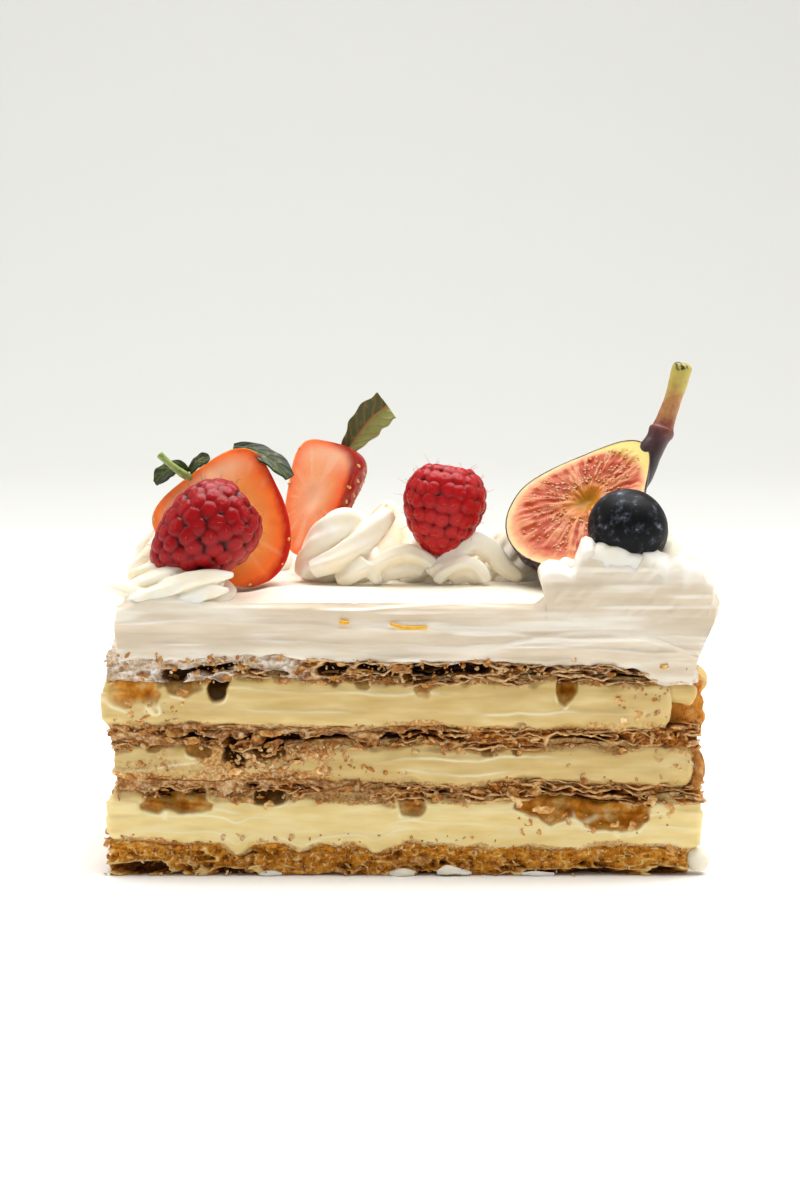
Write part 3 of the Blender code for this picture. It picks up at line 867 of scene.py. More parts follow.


# ---------------------------------------------------------------- custard

# Every custard: how far its ends reach past the slice's, its bulge, and its hollows on the front:
# middle, width, drop, depth and how dark their painted shade is.
Custard = namedtuple("Custard", "node left right bulge hollows")
CUSTARDS = [
    Custard("custard_1", 0.0, 0.0, 0.7, [
        (-47.0, 15.0, 3.4, 3.6, 0.15), (-28.0, 7.0, 1.8, 2.6, 0.5), (1.6, 5.2, 3.4, 2.4, 0.25),
        (31.0, 15.0, 4.6, 4.4, 0.0), (43.0, 17.0, 5.4, 4.6, 0.05),
    ]),
    Custard("custard_2", -1.4, -2.0, 0.5, [
        (-43.5, 5.6, 2.8, 3.4, 0.1), (-35.6, 5.2, 4.6, 4.8, 0.9), (-29.0, 8.0, 2.2, 3.8, 0.6),
        (-53.0, 3.4, 1.6, 2.2, 0.0), (17.5, 3.0, 1.8, 1.8, 0.1), (24.0, 2.4, 1.6, 1.8, 0.1),
    ]),
    Custard("custard_3", 0.8, -6.6, 0.7, [
        (-53.8, 11.0, 5.6, 3.4, 0.0), (-45.0, 8.0, 3.2, 2.8, 0.2), (-37.6, 4.4, 4.9, 4.9, 0.95),
        (37.2, 4.4, 4.2, 4.2, 0.3), (4.2, 4.0, 3.0, 1.8, 0.0), (-8.5, 3.2, 1.8, 1.8, 0.0),
    ]),
]
CUSTARD_COLUMNS, CUSTARD_ROWS = 1040, 60
HOLLOW_SQUARE = 2.6  # how square a hollow is, where 2 is an ellipse
CUSTARD_SHOULDER = 1.3  # how far a custard runs up behind the leaves above and below it


def knife_folds(x, z, low, high, seed, count, drop=0.42):
    """Long thin steps that a knife leaves in soft cream, and where their raised lips are, which get a painted
    highlight.
    """
    out, lips = np.zeros_like(x), np.zeros_like(x)
    for k in range(count):
        line = spots_of(x, 31.0 * k, 0.0)
        level = low + (high - low) * (k + 0.6) / (count + 0.2)
        level = level + 1.1 * noise(line, 19, seed + k) + 0.28 * noise(line, 5, seed + k + 20)
        there = smooth(-0.15, 0.35, noise(line, 21, seed + k + 40))
        out = out + there * (drop * smooth(0.3, -0.3, z - level) + 0.5 * drop * bell(z - level + 0.2, 0.3))
        out = out - there * drop * smooth(-0.6, -3.4, z - level)
        lips = np.maximum(lips, there * bell(z - level - 0.02, 0.26))
    return out, lips


def hollow_share(x, z, at, top, middle, width, drop, seed):
    """How far inside a ragged hollow under a sheet a point lies, its bowl and its rim, from 0 to 1; the rim
    also gets a painted highlight.
    """
    ragged = 0.3 * noise(at, (3.6, 3.6, 2.6), seed) + 0.09 * noise(at, (1.5, 1.5, 1.2), seed + 1)
    sideways, down = np.abs(x - middle) / (width / 2), np.clip(top - z, 0, None) / drop
    off = (sideways**HOLLOW_SQUARE + down**HOLLOW_SQUARE) ** (1 / HOLLOW_SQUARE) + ragged
    rim = 0.8 * bell(off - 1.12, 0.07) * smooth(0.35, 0.8, (top - z) / drop)
    return smooth(1.08, 0.92, off), smooth(1.08, 0.3, off), rim


def custard(index, material):
    name, left, right, bulge, hollows = CUSTARDS[index]
    seed = 500 + 60 * index

    def profile(x, y, v):
        edge = spots_of(x, y, 0.0)
        low, high = crest(index, edge), foot(index + 1, edge)
        bottom, top = low - CUSTARD_SHOULDER, high + CUSTARD_SHOULDER
        w = np.clip((v - 0.08) / 0.84, 0, 1)
        wall = smooth(0, 0.08, v) * smooth(1, 0.92, v)
        z = bottom + (top - bottom) * w
        at = spots_of(x, y, z)
        front = smooth(FRONT + 2, FRONT + 0.5, y)
        out = bulge * 4 * w * (1 - w) - 0.2
        out = out + 0.3 * noise(at, (15, 15, 4), seed + 2) + 0.13 * noise(at, (9, 9, 1.3), seed + 3)
        out = out + 0.035 * noise(at, (5, 5, 0.5), seed + 4)
        folds = 3 if index == 0 else 2
        steps, lips = knife_folds(x + 3 * y, z, 1.0 + low, high - 0.6, seed + 5, folds, 0.34)
        out = out + steps * (0.3 + 0.7 * front)
        tuck = np.minimum(z - bottom, top - z)
        out = out - 1.3 * smooth(2.4, 0.4, tuck + 0.8 * noise(at, (2.6, 2.6, 1.5), seed + 6))
        hollow, gloom, rims = np.zeros_like(x), np.zeros_like(x), np.zeros_like(x)
        for middle, width, drop, depth, dark in hollows:
            share, bowl, rim = hollow_share(x, z, at, high, middle, width, drop, seed + 7)
            rims = np.maximum(rims, front * rim * smooth(-0.3, 0.3, noise(at, 2.6, seed + 17)))
            hollow = np.maximum(hollow, front * (0.45 * share + 0.55 * bowl) * depth / 4)
            # Painted shade in each hollow: as dark as the table gives, and darker right under the sheet above.
            shade = np.clip(dark + 0.4 * smooth(1.8, 0.0, high - z), 0, 1)
            gloom = np.maximum(gloom, front * smooth(0.3, 1.0, share) * shade)
        notch = smooth(0.2, 0.7, noise(edge, 3.2, seed + 9))
        notch = notch * smooth(-0.2, 0.9, z - high + 1.8 * noise(edge, 2, seed + 10))
        elsewhere = smooth(0.35, 0.75, noise(edge, 7, seed + 9)) * smooth(-0.3, 0.4, z - high + 2.2)
        elsewhere = elsewhere * (1 - front)
        hollow = np.maximum(hollow, np.maximum(elsewhere * 0.7, 0.45 * notch))
        # Painted highlight: the lips of the knife steps, broken up, and the lower rims of the hollows.
        lips = lips * (0.3 + 0.7 * smooth(-0.4, 0.4, noise(at, (7, 7, 2.4), seed + 21)))
        lips = np.maximum(lips * (1 - smooth(0, 0.2, hollow)), rims)
        out = out - 3.6 * hollow * (1 + 0.3 * noise(at, 2.2, seed + 11)) + 0.4 * rims
        out = np.clip(out, -5.2, 0.75)
        above, below = high - z, z - low
        stained = smooth(1.5, 0.0, below + 1.1 * noise(at, (3.5, 3.5, 1.4), seed + 12))
        stained = np.maximum(stained, smooth(1.7, 0.1, above + 1.2 * noise(at, (3, 3, 1.4), seed + 13)))
        smears_here = smooth(0.05, 0.6, noise(at, (7, 7, 3), seed + 14) + (0.4 if index == 1 else -0.1))
        left_part = smooth(-5, -35, x) if index == 1 else 0.4
        dragged = smooth(-12, -18, x) * smooth(-47, -40, x) if index == 1 else 0.0
        dragged = front * dragged * smooth(-0.75, -0.1, noise(at, (4, 4, 2.6), seed + 16))
        dust = np.clip(0.62 * stained + 0.5 * smears_here * left_part + 0.75 * dragged, 0, 0.95)
        dust = dust * (1 - 0.7 * np.clip(hollow, 0, 1))
        crumbly = 0.3 * noise(at, 1.7, seed + 15) + 0.25 * noise(at, 0.85, seed + 18)
        out = out + smooth(0.35, 0.9, dust) * crumbly
        marks = {"hollow": np.clip(hollow, 0, 1), "dust": dust, "deep": gloom, "lip": lips}
        return 6.0 * (1 - wall), out, z, marks

    mesh = ring(name + "_cream", CUSTARD_COLUMNS, CUSTARD_ROWS, profile, left, right)
    return piece(name + "_cream", mesh, material, "custard", name)


# ---------------------------------------------------------------- whipped cream


def slab_grid(name, columns_x, columns_y, columns_z, shape):
    """A block of cream with a fine skin: shape(x, y, w) moves its points, w from 0 below to 1 on top."""
    bm = bmesh.new()
    bmesh.ops.create_grid(bm, x_segments=columns_x, y_segments=columns_y, size=1.0)
    lifted = bmesh.ops.extrude_face_region(bm, geom=bm.faces[:])
    top = [v for v in lifted["geom"] if isinstance(v, bmesh.types.BMVert)]
    bmesh.ops.translate(bm, verts=top, vec=(0, 0, 1))
    upright = [e for e in bm.edges if abs(e.verts[0].co.z - e.verts[1].co.z) > 0.5]
    bmesh.ops.subdivide_edges(bm, edges=upright, cuts=columns_z - 1, use_grid_fill=True)
    mesh = bpy.data.meshes.new(name)
    bmesh.ops.recalc_face_normals(bm, faces=bm.faces)
    bm.to_mesh(mesh)
    bm.free()
    flat = read_spots(mesh)
    spots, marks = shape(flat[:, 0], flat[:, 1], flat[:, 2])
    write_spots(mesh, spots)
    write_marks(mesh, marks)
    return mesh


def whipped_slab(material):
    """The flat cream layer, smoothed with a spatula on top and cut on its sides."""

    def shape(u, v, w):
        x, y = u * LENGTH / 2, v * DEPTH / 2
        edge = np.minimum(LENGTH / 2 - np.abs(x), DEPTH / 2 - np.abs(y))
        at = spots_of(x, y, 0.0)
        waves = 0.28 * noise(at, (26, 10, 1), 700) + 0.1 * noise(at, (11, 4, 1), 701)
        under = crest(3, spots_of(x, y, 0.0)) - 0.5
        z = under + (CREAM_TOP - under) * w + (waves - 0.25) * w
        z = z - w * 0.9 * smooth(1.4, 0.0, edge) - 0.3 * w
        z = z + 1.2 * w * smooth(-25, -12, y) * smooth(-36, -28, x) * smooth(36, 30, x)
        z = z + (1 - w) * 0.5 * noise(at, 6, 702) * smooth(3, 0, edge)
        wall = spots_of(x, y, z)
        out = 0.5 * 4 * w * (1 - w) - 0.25 + 0.35 * rough(wall, (11, 11, 3), 703)
        out = out + 0.1 * noise(wall, (8, 8, 0.8), 704) - 0.9 * smooth(0.8, 1.0, w)
        side_x, side_y = (np.abs(u) > 0.9999) * np.sign(u), (np.abs(v) > 0.9999) * np.sign(v)
        back = np.where(v < -0.9999, -0.9, 0.0)
        sag = 3.2 * smooth(0, DEPTH / 3, -y) * np.sin(math.pi * np.clip(w, 0, 1) / 2) * (u > 0.9999)
        lean = 2.4 * smooth(10, DEPTH / 2, -y) * (1 - w) * smooth(0.8, 1.0, u)
        px = fitted(x, -2.4, -0.4) + side_x * out + sag - lean
        return spots_of(px, y + side_y * (out + back), z), {}

    mesh = slab_grid("cream_slab", 200, 100, 22, shape)
    return piece("cream_slab", mesh, material, "whipped_cream", "whipped_top")


# The ragged top of the cut through the swirls at the right: X and height of its lobes and dips.
CUT_TOP = [
    (-59.4, 47.6),
    (-59.6, 52.5),
    (-59.0, 56.2),
    (-56.0, 57.4),
    (-52.0, 58.8),
    (-48.0, 58.9),
    (-43.0, 57.6),
    (-38.0, 56.9),
    (-30.0, 56.9),
    (-10.0, 56.9),
    (10.0, 56.9),
    (26.6, 56.7),
    (29.0, 58.6),
    (27.9, 61.6),
    (27.3, 63.8),
    (28.0, 65.0),
    (29.4, 65.4),
    (31.7, 65.1),
    (33.9, 64.3),
    (34.7, 65.4),
    (35.3, 67.9),
    (36.1, 69.7),
    (37.0, 70.4),
    (38.2, 69.8),
    (39.2, 68.4),
    (41.2, 67.1),
    (41.9, 67.8),
    (44.3, 66.8),
    (47.4, 66.4),
    (48.0, 67.5),
    (48.8, 69.0),
    (50.4, 68.8),
    (52.5, 67.4),
    (54.1, 66.5),
    (56.1, 67.2),
    (57.4, 66.9),
    (58.6, 65.7),
    (60.2, 65.9),
    (62.0, 64.9),
    (62.6, 63.4),
    (64.0, 62.6),
    (64.3, 60.4),
    (63.7, 58.8),
    (64.5, 57.0),
    (64.0, 54.2),
    (62.6, 52.9),
    (61.2, 51.2),
    (60.2, 49.2),
    (60.4, 47.0),
]
FLAT_ENDS = 11  # where in that list the flat top ends and the lobes start


def cut_relief(x, z):
    """How far the knife-drawn front of the cream stands out, and where its lips and raised strokes get a
    painted highlight.
    """
    flat = spots_of(x, 0.0, z)
    out = 0.32 * noise(flat, (17, 1, 3.2), 720) + 0.12 * noise(flat, (13, 1, 1.3), 721)
    out = out + 0.05 * noise(flat, (6, 1, 0.6), 722)
    dollop = smooth(22, 34, x) * smooth(50, 58, z)
    slanted = spots_of(x + z, 0.0, x - z)
    out = out + dollop * (0.36 * noise(flat, (6, 1, 3.6), 723) + 0.2 * noise(slanted, (5, 1, 1.6), 724))
    lower, low_lips = knife_folds(x, z + 0.02 * x, 46.0, 52.0, 730, 4, 0.34)
    upper, high_lips = knife_folds(x, z, 51.6, 57.6, 760, 2, 0.2)
    fade = smooth(34, 22, x)
    arc = z - 51.0 + np.where(x < 40, 2.7 / 400, 5.4 / 400) * (x - 40) ** 2
    ridge = 0.3 * smooth(0.4, -0.4, arc) * smooth(-5, -0.4, arc) + 0.3 * bell(arc + 0.2, 0.35)
    ridge = smooth(16, 24, x) * ridge
    # Painted highlight: lips of the knife steps and the arc over the dollop, broken up, and the raised strokes.
    lips = np.maximum(low_lips, np.maximum(high_lips * fade, smooth(16, 24, x) * bell(arc - 0.05, 0.3)))
    lips = lips * (0.15 + 0.75 * smooth(-0.4, 0.4, noise(flat, (8, 1, 3), 726)))
    strokes = 0.6 * smooth(0.3, 0.75, noise(flat, (15, 1, 1.1), 727))
    return out + 0.12 * strokes + lower + upper * fade + ridge, np.maximum(lips, strokes)


def cream_front(material):
    """The cut front of the cream, drawn over in one stroke from the flat layer up across the swirls."""
    tops = np.array(CUT_TOP)

    run = np.concatenate([[0], np.cumsum(np.hypot(*np.diff(tops, axis=0).T))])
    start, end = FLAT_ENDS, len(tops) - 10
    marks_on = [0, 3, start, end, len(tops) - 1]
    lows = np.interp(run, run[marks_on], [-59.2, -57.5, tops[start, 0] + 0.4, 56.0, 60.0])

    def shape(u, v):
        x_top, z_top = (np.interp(u, run / run[-1], tops[:, axis]) for axis in (0, 1))
        soft = spots_of(x_top, 0.0, z_top)
        ragged = smooth(20, 30, x_top) * smooth(57, 60, z_top)
        z_top = z_top + (0.15 + 0.3 * ragged) * noise(soft, 1.7, 711)
        x_low = np.interp(u, run / run[-1], lows)
        below = spots_of(x_low, FRONT, 0.0)
        z_low = crest(3, below) - 0.5 + 0.5 * noise(below, 6, 712) + 0.45 * noise(below, 2.2, 713)
        z_low = z_low - 3.6 * smooth(48.5, 53, x_low + 1.5 * noise(below, 2.5, 714))
        z_low = z_low - 1.2 * smooth(-54, -58, x_low)
        w = np.clip((v - 0.08) / 0.84, 0, 1)
        blend = w**1.2
        x = x_low * (1 - blend) + x_top * blend
        z = z_low + np.maximum(z_top - z_low, 0.6) * w
        back = 2.4 * (1 - smooth(0, 0.08, v)) + (2.6 + 2.2 * ragged) * (1 - smooth(1, 0.92, v))
        roll = (1.0 + 1.8 * ragged) * smooth(0.84, 1.0, w) ** 2 + 0.4 * smooth(0.06, 0.0, w)
        ends = 1.4 * smooth(0.03, 0.0, u) + 1.4 * smooth(0.97, 1.0, u) + 6.0 * smooth(0.955, 1.0, u) ** 2
        x = x + 1.8 * smooth(0.008, 0.0, u) - 3.0 * smooth(0.988, 1.0, u)
        relief, lips = cut_relief(x, z)
        y = FRONT - 0.1 - relief + roll + back + ends
        lift = (0.5 + 1.2 * ragged) * smooth(0.92, 1.0, v)
        # Painted highlight on the ragged rolled-back top of the cut over the swirls.
        lips = np.maximum(lips, 0.9 * ragged * smooth(0.8, 0.96, w + 0.1 * noise(soft, 2.5, 715)))
        return spots_of(x, np.clip(y, FRONT - 1.1, None), z - lift), {"lip": lips * smooth(0.98, 0.9, v)}

    mesh = close(bent_grid("cream_front", 620, 130, shape))
    return piece("cream_front", mesh, material, "whipped_cream", "whipped_top")


# ---------------------------------------------------------------- piped swirls

# Every swirl: node, X and Y, radius, height, turn of its first lobe, and where its tip leans.
SWIRLS = [
    ("rosette_front_left", -47.6, -19.0, 13.6, 10.0, 10, (1.0, 1.0)),
    ("rosette_left", -51.9, 4.6, 8.3, 12.0, 50, (-1.0, 0.5)),
    ("rosette_middle_left", -13.6, 4.0, 9.4, 15.0, 25, (2.8, 0.5)),
    ("rosette_middle", 4.7, 3.0, 8.7, 11.5, 70, (1.0, -0.5)),
    ("rosette_middle_right", 22.6, 4.4, 8.9, 11.0, 40, (-1.5, 0.0)),
    ("rosette_back_1", -50.4, 21.6, 8.5, 13.0, 0, (1.0, 0.5)),
    ("rosette_back_2", -32.0, 21.2, 8.7, 12.0, 30, (-1.0, 0.5)),
    ("rosette_back_3", -5.0, 21.6, 8.8, 15.5, 15, (1.2, 0.0)),
    ("rosette_back_4", 13.6, 21.4, 8.8, 13.0, 55, (-1.2, 0.4)),
    ("rosette_back_5", 32.4, 21.0, 8.8, 13.0, 35, (0.8, -0.6)),
    ("rosette_back_6", 51.6, 20.4, 9.2, 13.5, 20, (-1.0, 0.5)),
    ("rosette_right", 55.0, 0.6, 9.4, 14.0, 65, (-1.0, 0.5)),
]
LOBES = 6
SWIRL = math.radians(150)


def swirl(name, x, y, radius, height, start, lean, columns=144, rows=64):
    """A star-nozzle swirl: full round ropes with deep folds between them that wind up to a pulled tip."""
    seed = 900 + int(abs(7 * x + 3 * y))

    def shape(u, v):
        t = np.clip(1 - (1 - v) ** 1.15, 0, 1)
        turn = math.tau * u
        rope = np.floor(u * LOBES) % LOBES
        lobe = np.abs(np.sin(LOBES / 2 * turn))
        own = noise(spots_of(rope * 3.1, t * 1.2, 0.0), 1.0, seed)
        ridge = 1 - 0.36 * (1 - lobe**0.62) * (1 - 0.35 * t) + 0.05 * own * lobe
        angle = turn + math.radians(start) + SWIRL * t + 0.12 * np.sin(4 * t + start)
        waist = 0.9 + 0.1 * smooth(0, 0.2, t)
        reach = radius * ridge * waist * np.clip(1 - 0.93 * t**1.6, 0, 1) ** 0.85
        reach = reach * (1 - 0.9 * smooth(0.97, 1.0, t))
        px = x + np.cos(angle) * reach + lean[0] * t**2
        py = y + np.sin(angle) * reach + lean[1] * t**2
        z = CREAM_TOP - 0.9 + (height + 0.9) * t
        z = z + 0.5 * own * lobe * smooth(0.05, 0.4, t) * (1 - t)
        at = spots_of(px, py, z)
        wave = 0.22 * rough(at, (3.2, 3.2, 3.2), seed + 1)
        px, py = px + np.cos(angle) * wave, py + np.sin(angle) * wave
        return spots_of(px, np.maximum(py, FRONT + 0.25), z), {}

    return close(bent_grid(name, columns, rows, shape))


def melted(name, meshes, voxel=0.42, passes=6):
    """Several forms of soft cream run together into one skin."""
    obj = bpy.data.objects.new(name, joined(name, meshes))
    bpy.context.scene.collection.objects.link(obj)
    skin = obj.modifiers.new("skin", "REMESH")
    skin.mode = "VOXEL"
    skin.voxel_size = voxel * MM
    soften = obj.modifiers.new("soften", "SMOOTH")
    soften.factor = 0.5
    soften.iterations = passes
    graph = bpy.context.evaluated_depsgraph_get()
    mesh = bpy.data.meshes.new_from_object(obj.evaluated_get(graph))
    bpy.data.objects.remove(obj)
    return mark_folds(mesh)


# Ropes of cream that lie over the swirls: X, Y, Z and radius along each.
LEFT_ROPES = [
    [(-52.5, -25.6, 58.0, 1.1), (-48.5, -27.4, 59.8, 1.7), (-44.5, -27.6, 61.2, 1.9),
     (-39.5, -27.0, 62.1, 1.6), (-35.0, -25.6, 62.2, 0.6)],
    [(-47.0, -27.8, 57.4, 0.8), (-43.0, -28.4, 58.2, 1.3), (-39.5, -28.0, 59.0, 1.4),
     (-36.0, -27.0, 59.3, 0.5)],
    [(-61.6, -22.0, 59.6, 0.5), (-58.0, -24.5, 59.0, 1.4), (-53.5, -26.8, 58.0, 1.6)],
]
MIDDLE_ROPES = [
    [(-20.8, -1.4, 57.0, 2.8), (-19.0, -2.2, 62.6, 3.8), (-15.6, -2.6, 67.6, 4.0),
     (-12.0, -1.8, 69.6, 3.9), (-7.6, -0.4, 67.0, 3.0)],
    [(-19.8, -6.8, 59.4, 2.3), (-15.0, -7.6, 62.0, 2.9), (-10.0, -6.8, 65.8, 2.9),
     (-6.0, -4.6, 69.6, 2.5), (-3.0, -2.2, 72.6, 1.7)],
    [(-14.0, -8.4, 56.6, 1.6), (-10.6, -8.8, 59.2, 2.2), (-7.6, -8.4, 62.0, 2.4)],
    [(-6.4, -7.0, 57.4, 1.6), (-3.2, -6.6, 59.6, 2.5), (0.8, -6.4, 60.4, 2.5),
     (4.0, -6.2, 59.0, 1.8)],
    [(-5.6, -9.0, 56.8, 1.3), (-6.4, -9.2, 59.6, 1.6), (-3.8, -8.8, 63.0, 1.9),
     (0.2, -7.8, 64.4, 2.1), (4.0, -7.2, 62.8, 2.0), (6.6, -7.4, 60.4, 1.7)],
]
RIGHT_ROPES = [
    [(4.6, -7.4, 59.0, 1.5), (8.0, -7.6, 61.2, 2.0), (11.2, -6.8, 64.0, 2.4),
     (14.8, -5.8, 66.2, 2.6), (18.4, -5.6, 64.4, 2.5), (20.8, -6.4, 60.8, 2.2),
     (24.8, -7.6, 57.4, 1.4)],
    [(9.6, -7.2, 57.0, 1.7), (12.8, -7.0, 59.2, 2.4), (16.2, -7.2, 57.2, 1.7)],
    [(6.7, -9.2, 56.8, 1.3), (9.0, -9.4, 60.0, 1.6), (12.6, -9.2, 62.0, 1.7),
     (15.4, -9.2, 60.6, 1.7), (17.4, -9.6, 56.8, 1.4)],
]


def ropes(name, listed, columns=72, rows=36, uneven=0.05, seed=0, ridges=0.09):
    """A strand for each rope in the list."""
    spines = [np.array(spine) for spine in listed]
    return [
        strand(f"{name}_{k}", spine[:, :3], spine[:, 3], columns, rows, uneven, seed + k, ridges)
        for k, spine in enumerate(spines)
    ]


def footed(mesh):
    """Swirls whose feet stand on the slightly raised middle of the layer, drawn back from its front."""
    spots = read_spots(mesh) / MM
    spots[:, 2] += 1.3 * smooth(66, 57.4, spots[:, 2])
    spots[:, 1] += 1.5 * smooth(-4, -10, spots[:, 1])
    write_spots(mesh, spots)
    return mesh


def swirls(material):
    forms = {row[0]: swirl(*row) for row in SWIRLS}
    left = [forms.pop("rosette_front_left"), *ropes("left_rope", LEFT_ROPES)]
    left = melted("swirl_front_left", left, 0.38, 3)
    piece("swirl_front_left", left, material, "whipped_cream", "rosette_front_left")
    middle = [forms.pop("rosette_middle_left"), *ropes("middle_rope", MIDDLE_ROPES)]
    middle = footed(melted("middle_left", middle, 0.36, 5))
    piece("swirl_middle_left", middle, material, "whipped_cream", "rosette_middle_left")
    right = [forms.pop("rosette_middle"), forms.pop("rosette_middle_right")]
    right += ropes("right_rope", RIGHT_ROPES)
    piece(
        "swirl_middle_right",
        footed(melted("middle_right", right, 0.36, 5)),
        material,
        "whipped_cream",
        "rosette_middle",
        "rosette_middle_right",
    )
    corner = [
        swirl("corner_a", 42.8, -25.6, 14.0, 14.0, 5, (0.0, 1.5)),
        swirl("corner_b", 56.0, -20.6, 9.8, 12.6, 45, (0.0, 1.0)),
        swirl("corner_c", 33.6, -25.4, 5.6, 9.0, 20, (-0.6, 0.0)),
    ]
    corner = melted("corner", corner, 0.42, 3)
    piece("swirl_front_right", corner, material, "whipped_cream", "rosette_front_right")
    for name, mesh in forms.items():
        piece(name.replace("rosette", "swirl"), mark_folds(mesh, 8), material, "whipped_cream", name)


# ---------------------------------------------------------------- fruit

TOWARDS_FRONT = (0, -1, 0)
RASPBERRY_LEFT = stand((-41.7, -19.0, 69.9), (0.79, 0.14, 0.60), TOWARDS_FRONT)
RASPBERRY_CENTRE = stand((8.2, -4.0, 73.4), (0.14, 0.05, 0.99), TOWARDS_FRONT)
BLUEBERRY = stand((45.9, -22.6, 71.4), (0.45, 0.75, 0.45), TOWARDS_FRONT)
STRAWBERRY_FRONT = stand((-36.4, -6.6, 70.1), (-0.61, 0.25, 0.75), (-0.05, -0.93, 0.36))
STRAWBERRY_BACK = stand((-19.6, 9.6, 74.2), (0.29, 0.16, 0.94), (-0.68, -0.70, 0.20))
FIG = stand((38.2, -4.5, 75.4), (0.64, 0.48, 0.60), (-0.42, -0.80, 0.62))


def unit_ball(name, around_count, rows):
    """A ball of radius 1 with its poles on Z: its mesh, and where its points are."""
    turns = {}

    def shape(u, v):
        lift, turn = math.pi * v, math.tau * u
        turns["unit"] = np.stack((np.sin(lift) * np.cos(turn), np.sin(lift) * np.sin(turn), np.cos(lift)), 1)
        return turns["unit"], {}

    mesh = bent_grid(name, around_count, rows, shape)
    return mesh, turns["unit"].copy()


def bead_centres(length, radius, bead, taper):
    """Directions of a raspberry's beads, in staggered rings from end to end."""
    rings = round(1.25 * length / bead)
    centres = []
    for k in range(rings + 1):
        lift = math.pi * (k + 0.5) / (rings + 1)
        girth = radius * math.sin(lift) * taper((math.cos(lift) + 1) / 2)
        count = max(1, round(math.tau * girth / bead))
        for step in range(count):
            turn = math.tau * (step + 0.5 * (k % 2) + 0.11 * math.sin(5.1 * k + 2.3 * step)) / count
            slide = lift + 0.035 * math.sin(3.7 * step + 1.9 * k)
            reach = math.sin(slide)
            centres.append((math.cos(turn) * reach, math.sin(turn) * reach, math.cos(slide)))
    return np.array(centres)


def raspberry_taper(t):
    return 0.74 + 0.42 * t


def on_berry(unit, length, radius, taper, square=2.0):
    """A point of the unit ball on the fruit's smooth form, whose upper end is squarer as square grows."""
    girth = radius * taper((unit[:, 2] + 1) / 2)
    high = np.clip(unit[:, 2], 0, 0.9999)
    girth = girth * (1 - high**square) ** (1 / square) / np.sqrt(1 - high**2)
    return np.stack((unit[:, 0] * girth, unit[:, 1] * girth, unit[:, 2] * length / 2), 1)


BEAD_RELIEF = 0.85


def raspberry(name, node, place, length, radius, bead, material, hairs):
    """Round beads packed round a hollow heart, each with the dry thread of its flower."""
    centres = bead_centres(length, radius, bead, raspberry_taper)
    heads = on_berry(centres, length, radius, raspberry_taper)
    mesh, unit = unit_ball(name, 230, 170)
    form = on_berry(unit, length, radius, raspberry_taper)
    nearest = np.full(len(form), 1e9)
    owner = np.zeros(len(form), int)
    for k, head in enumerate(heads):
        off = np.linalg.norm(form - head, axis=1)
        closer = off < nearest
        nearest[closer], owner[closer] = off[closer], k
    size = bead * (0.72 + 0.05 * np.sin(7.3 * owner + 1.3))
    dome = np.sqrt(np.clip(1 - (nearest / size) ** 2, 0, 1))
    dent = 0.12 * bell(nearest, 0.35)
    lift = BEAD_RELIEF * (dome - 1) - dent + 0.12 * np.sin(5.9 * owner)
    out = form / np.linalg.norm(form, axis=1)[:, None]
    spots = form + out * lift[:, None]
    hollow = smooth(0.9, 0.99, unit[:, 2])
    spots[:, 2] -= 4.0 * hollow
    write_spots(mesh, put(spots, place))
    # The dome mark paints shade in the valleys between beads and a highlight on their tops.
    write_marks(mesh, {"dome": np.clip(dome, 0, 1) * (1 - hollow)})
    close(mesh, fill=False)
    piece(name, mesh, material, "raspberry", node)
    threads = []
    for k, head in enumerate(heads):
        away = head / np.linalg.norm(head)
        bend = np.array((math.sin(2.1 * k), math.cos(3.3 * k), 0.4 * math.sin(k)))
        path = [head - 0.3 * away, head + 0.7 * away + 0.2 * bend, head + 1.3 * away + 1.0 * bend]
        if k % 3 and abs(centres[k][2]) < 0.93:
            threads.append(strand("thread", put(np.array(path), place), [0.04, 0.032, 0.015], 6, 5))
    piece(name + "_threads", joined(name + "_threads", threads), hairs, "raspberry")


def blueberry(material):
    """A ball with the rimmed cup of its flower end, faintly dented."""
    mesh, unit = unit_ball("blueberry_skin", 120, 90)
    off_axis = np.hypot(unit[:, 0], unit[:, 1])
    top = unit[:, 2] > 0
    scallop = 1 + 0.35 * np.cos(5 * np.arctan2(unit[:, 1], unit[:, 0]))
    rim, dip = 0.09 * scallop * bell(off_axis - 0.42, 0.1), 0.16 * (1 - smooth(0.0, 0.4, off_axis))
    unit[:, 2] += top * (rim - dip)
    form = on_berry(unit, 15.6, 8.4, lambda t: 1.0)
    form = form * (1 + 0.008 * rough(form, 4.0, 31)[:, None])
    write_spots(mesh, put(form, BLUEBERRY))
    close(mesh, fill=False)
    piece("blueberry_skin", mesh, material, "blueberry", "blueberry")


def cut_half(name, length, radius, taper, relief, columns=200, rows=150, square=2.0):
    """A fruit cut in half: the near half of a ball pressed flat, with a relief on its cut face."""
    mesh, unit = unit_ball(name, columns, rows)
    form = on_berry(unit, length, radius, taper, square)
    face = unit[:, 1] < -1e-4
    across = np.hypot(unit[:, 0], unit[:, 2])
    form[:, 1] = np.where(face, -relief(form[:, 0], form[:, 2], across), form[:, 1])
    return mesh, unit, form, face, across


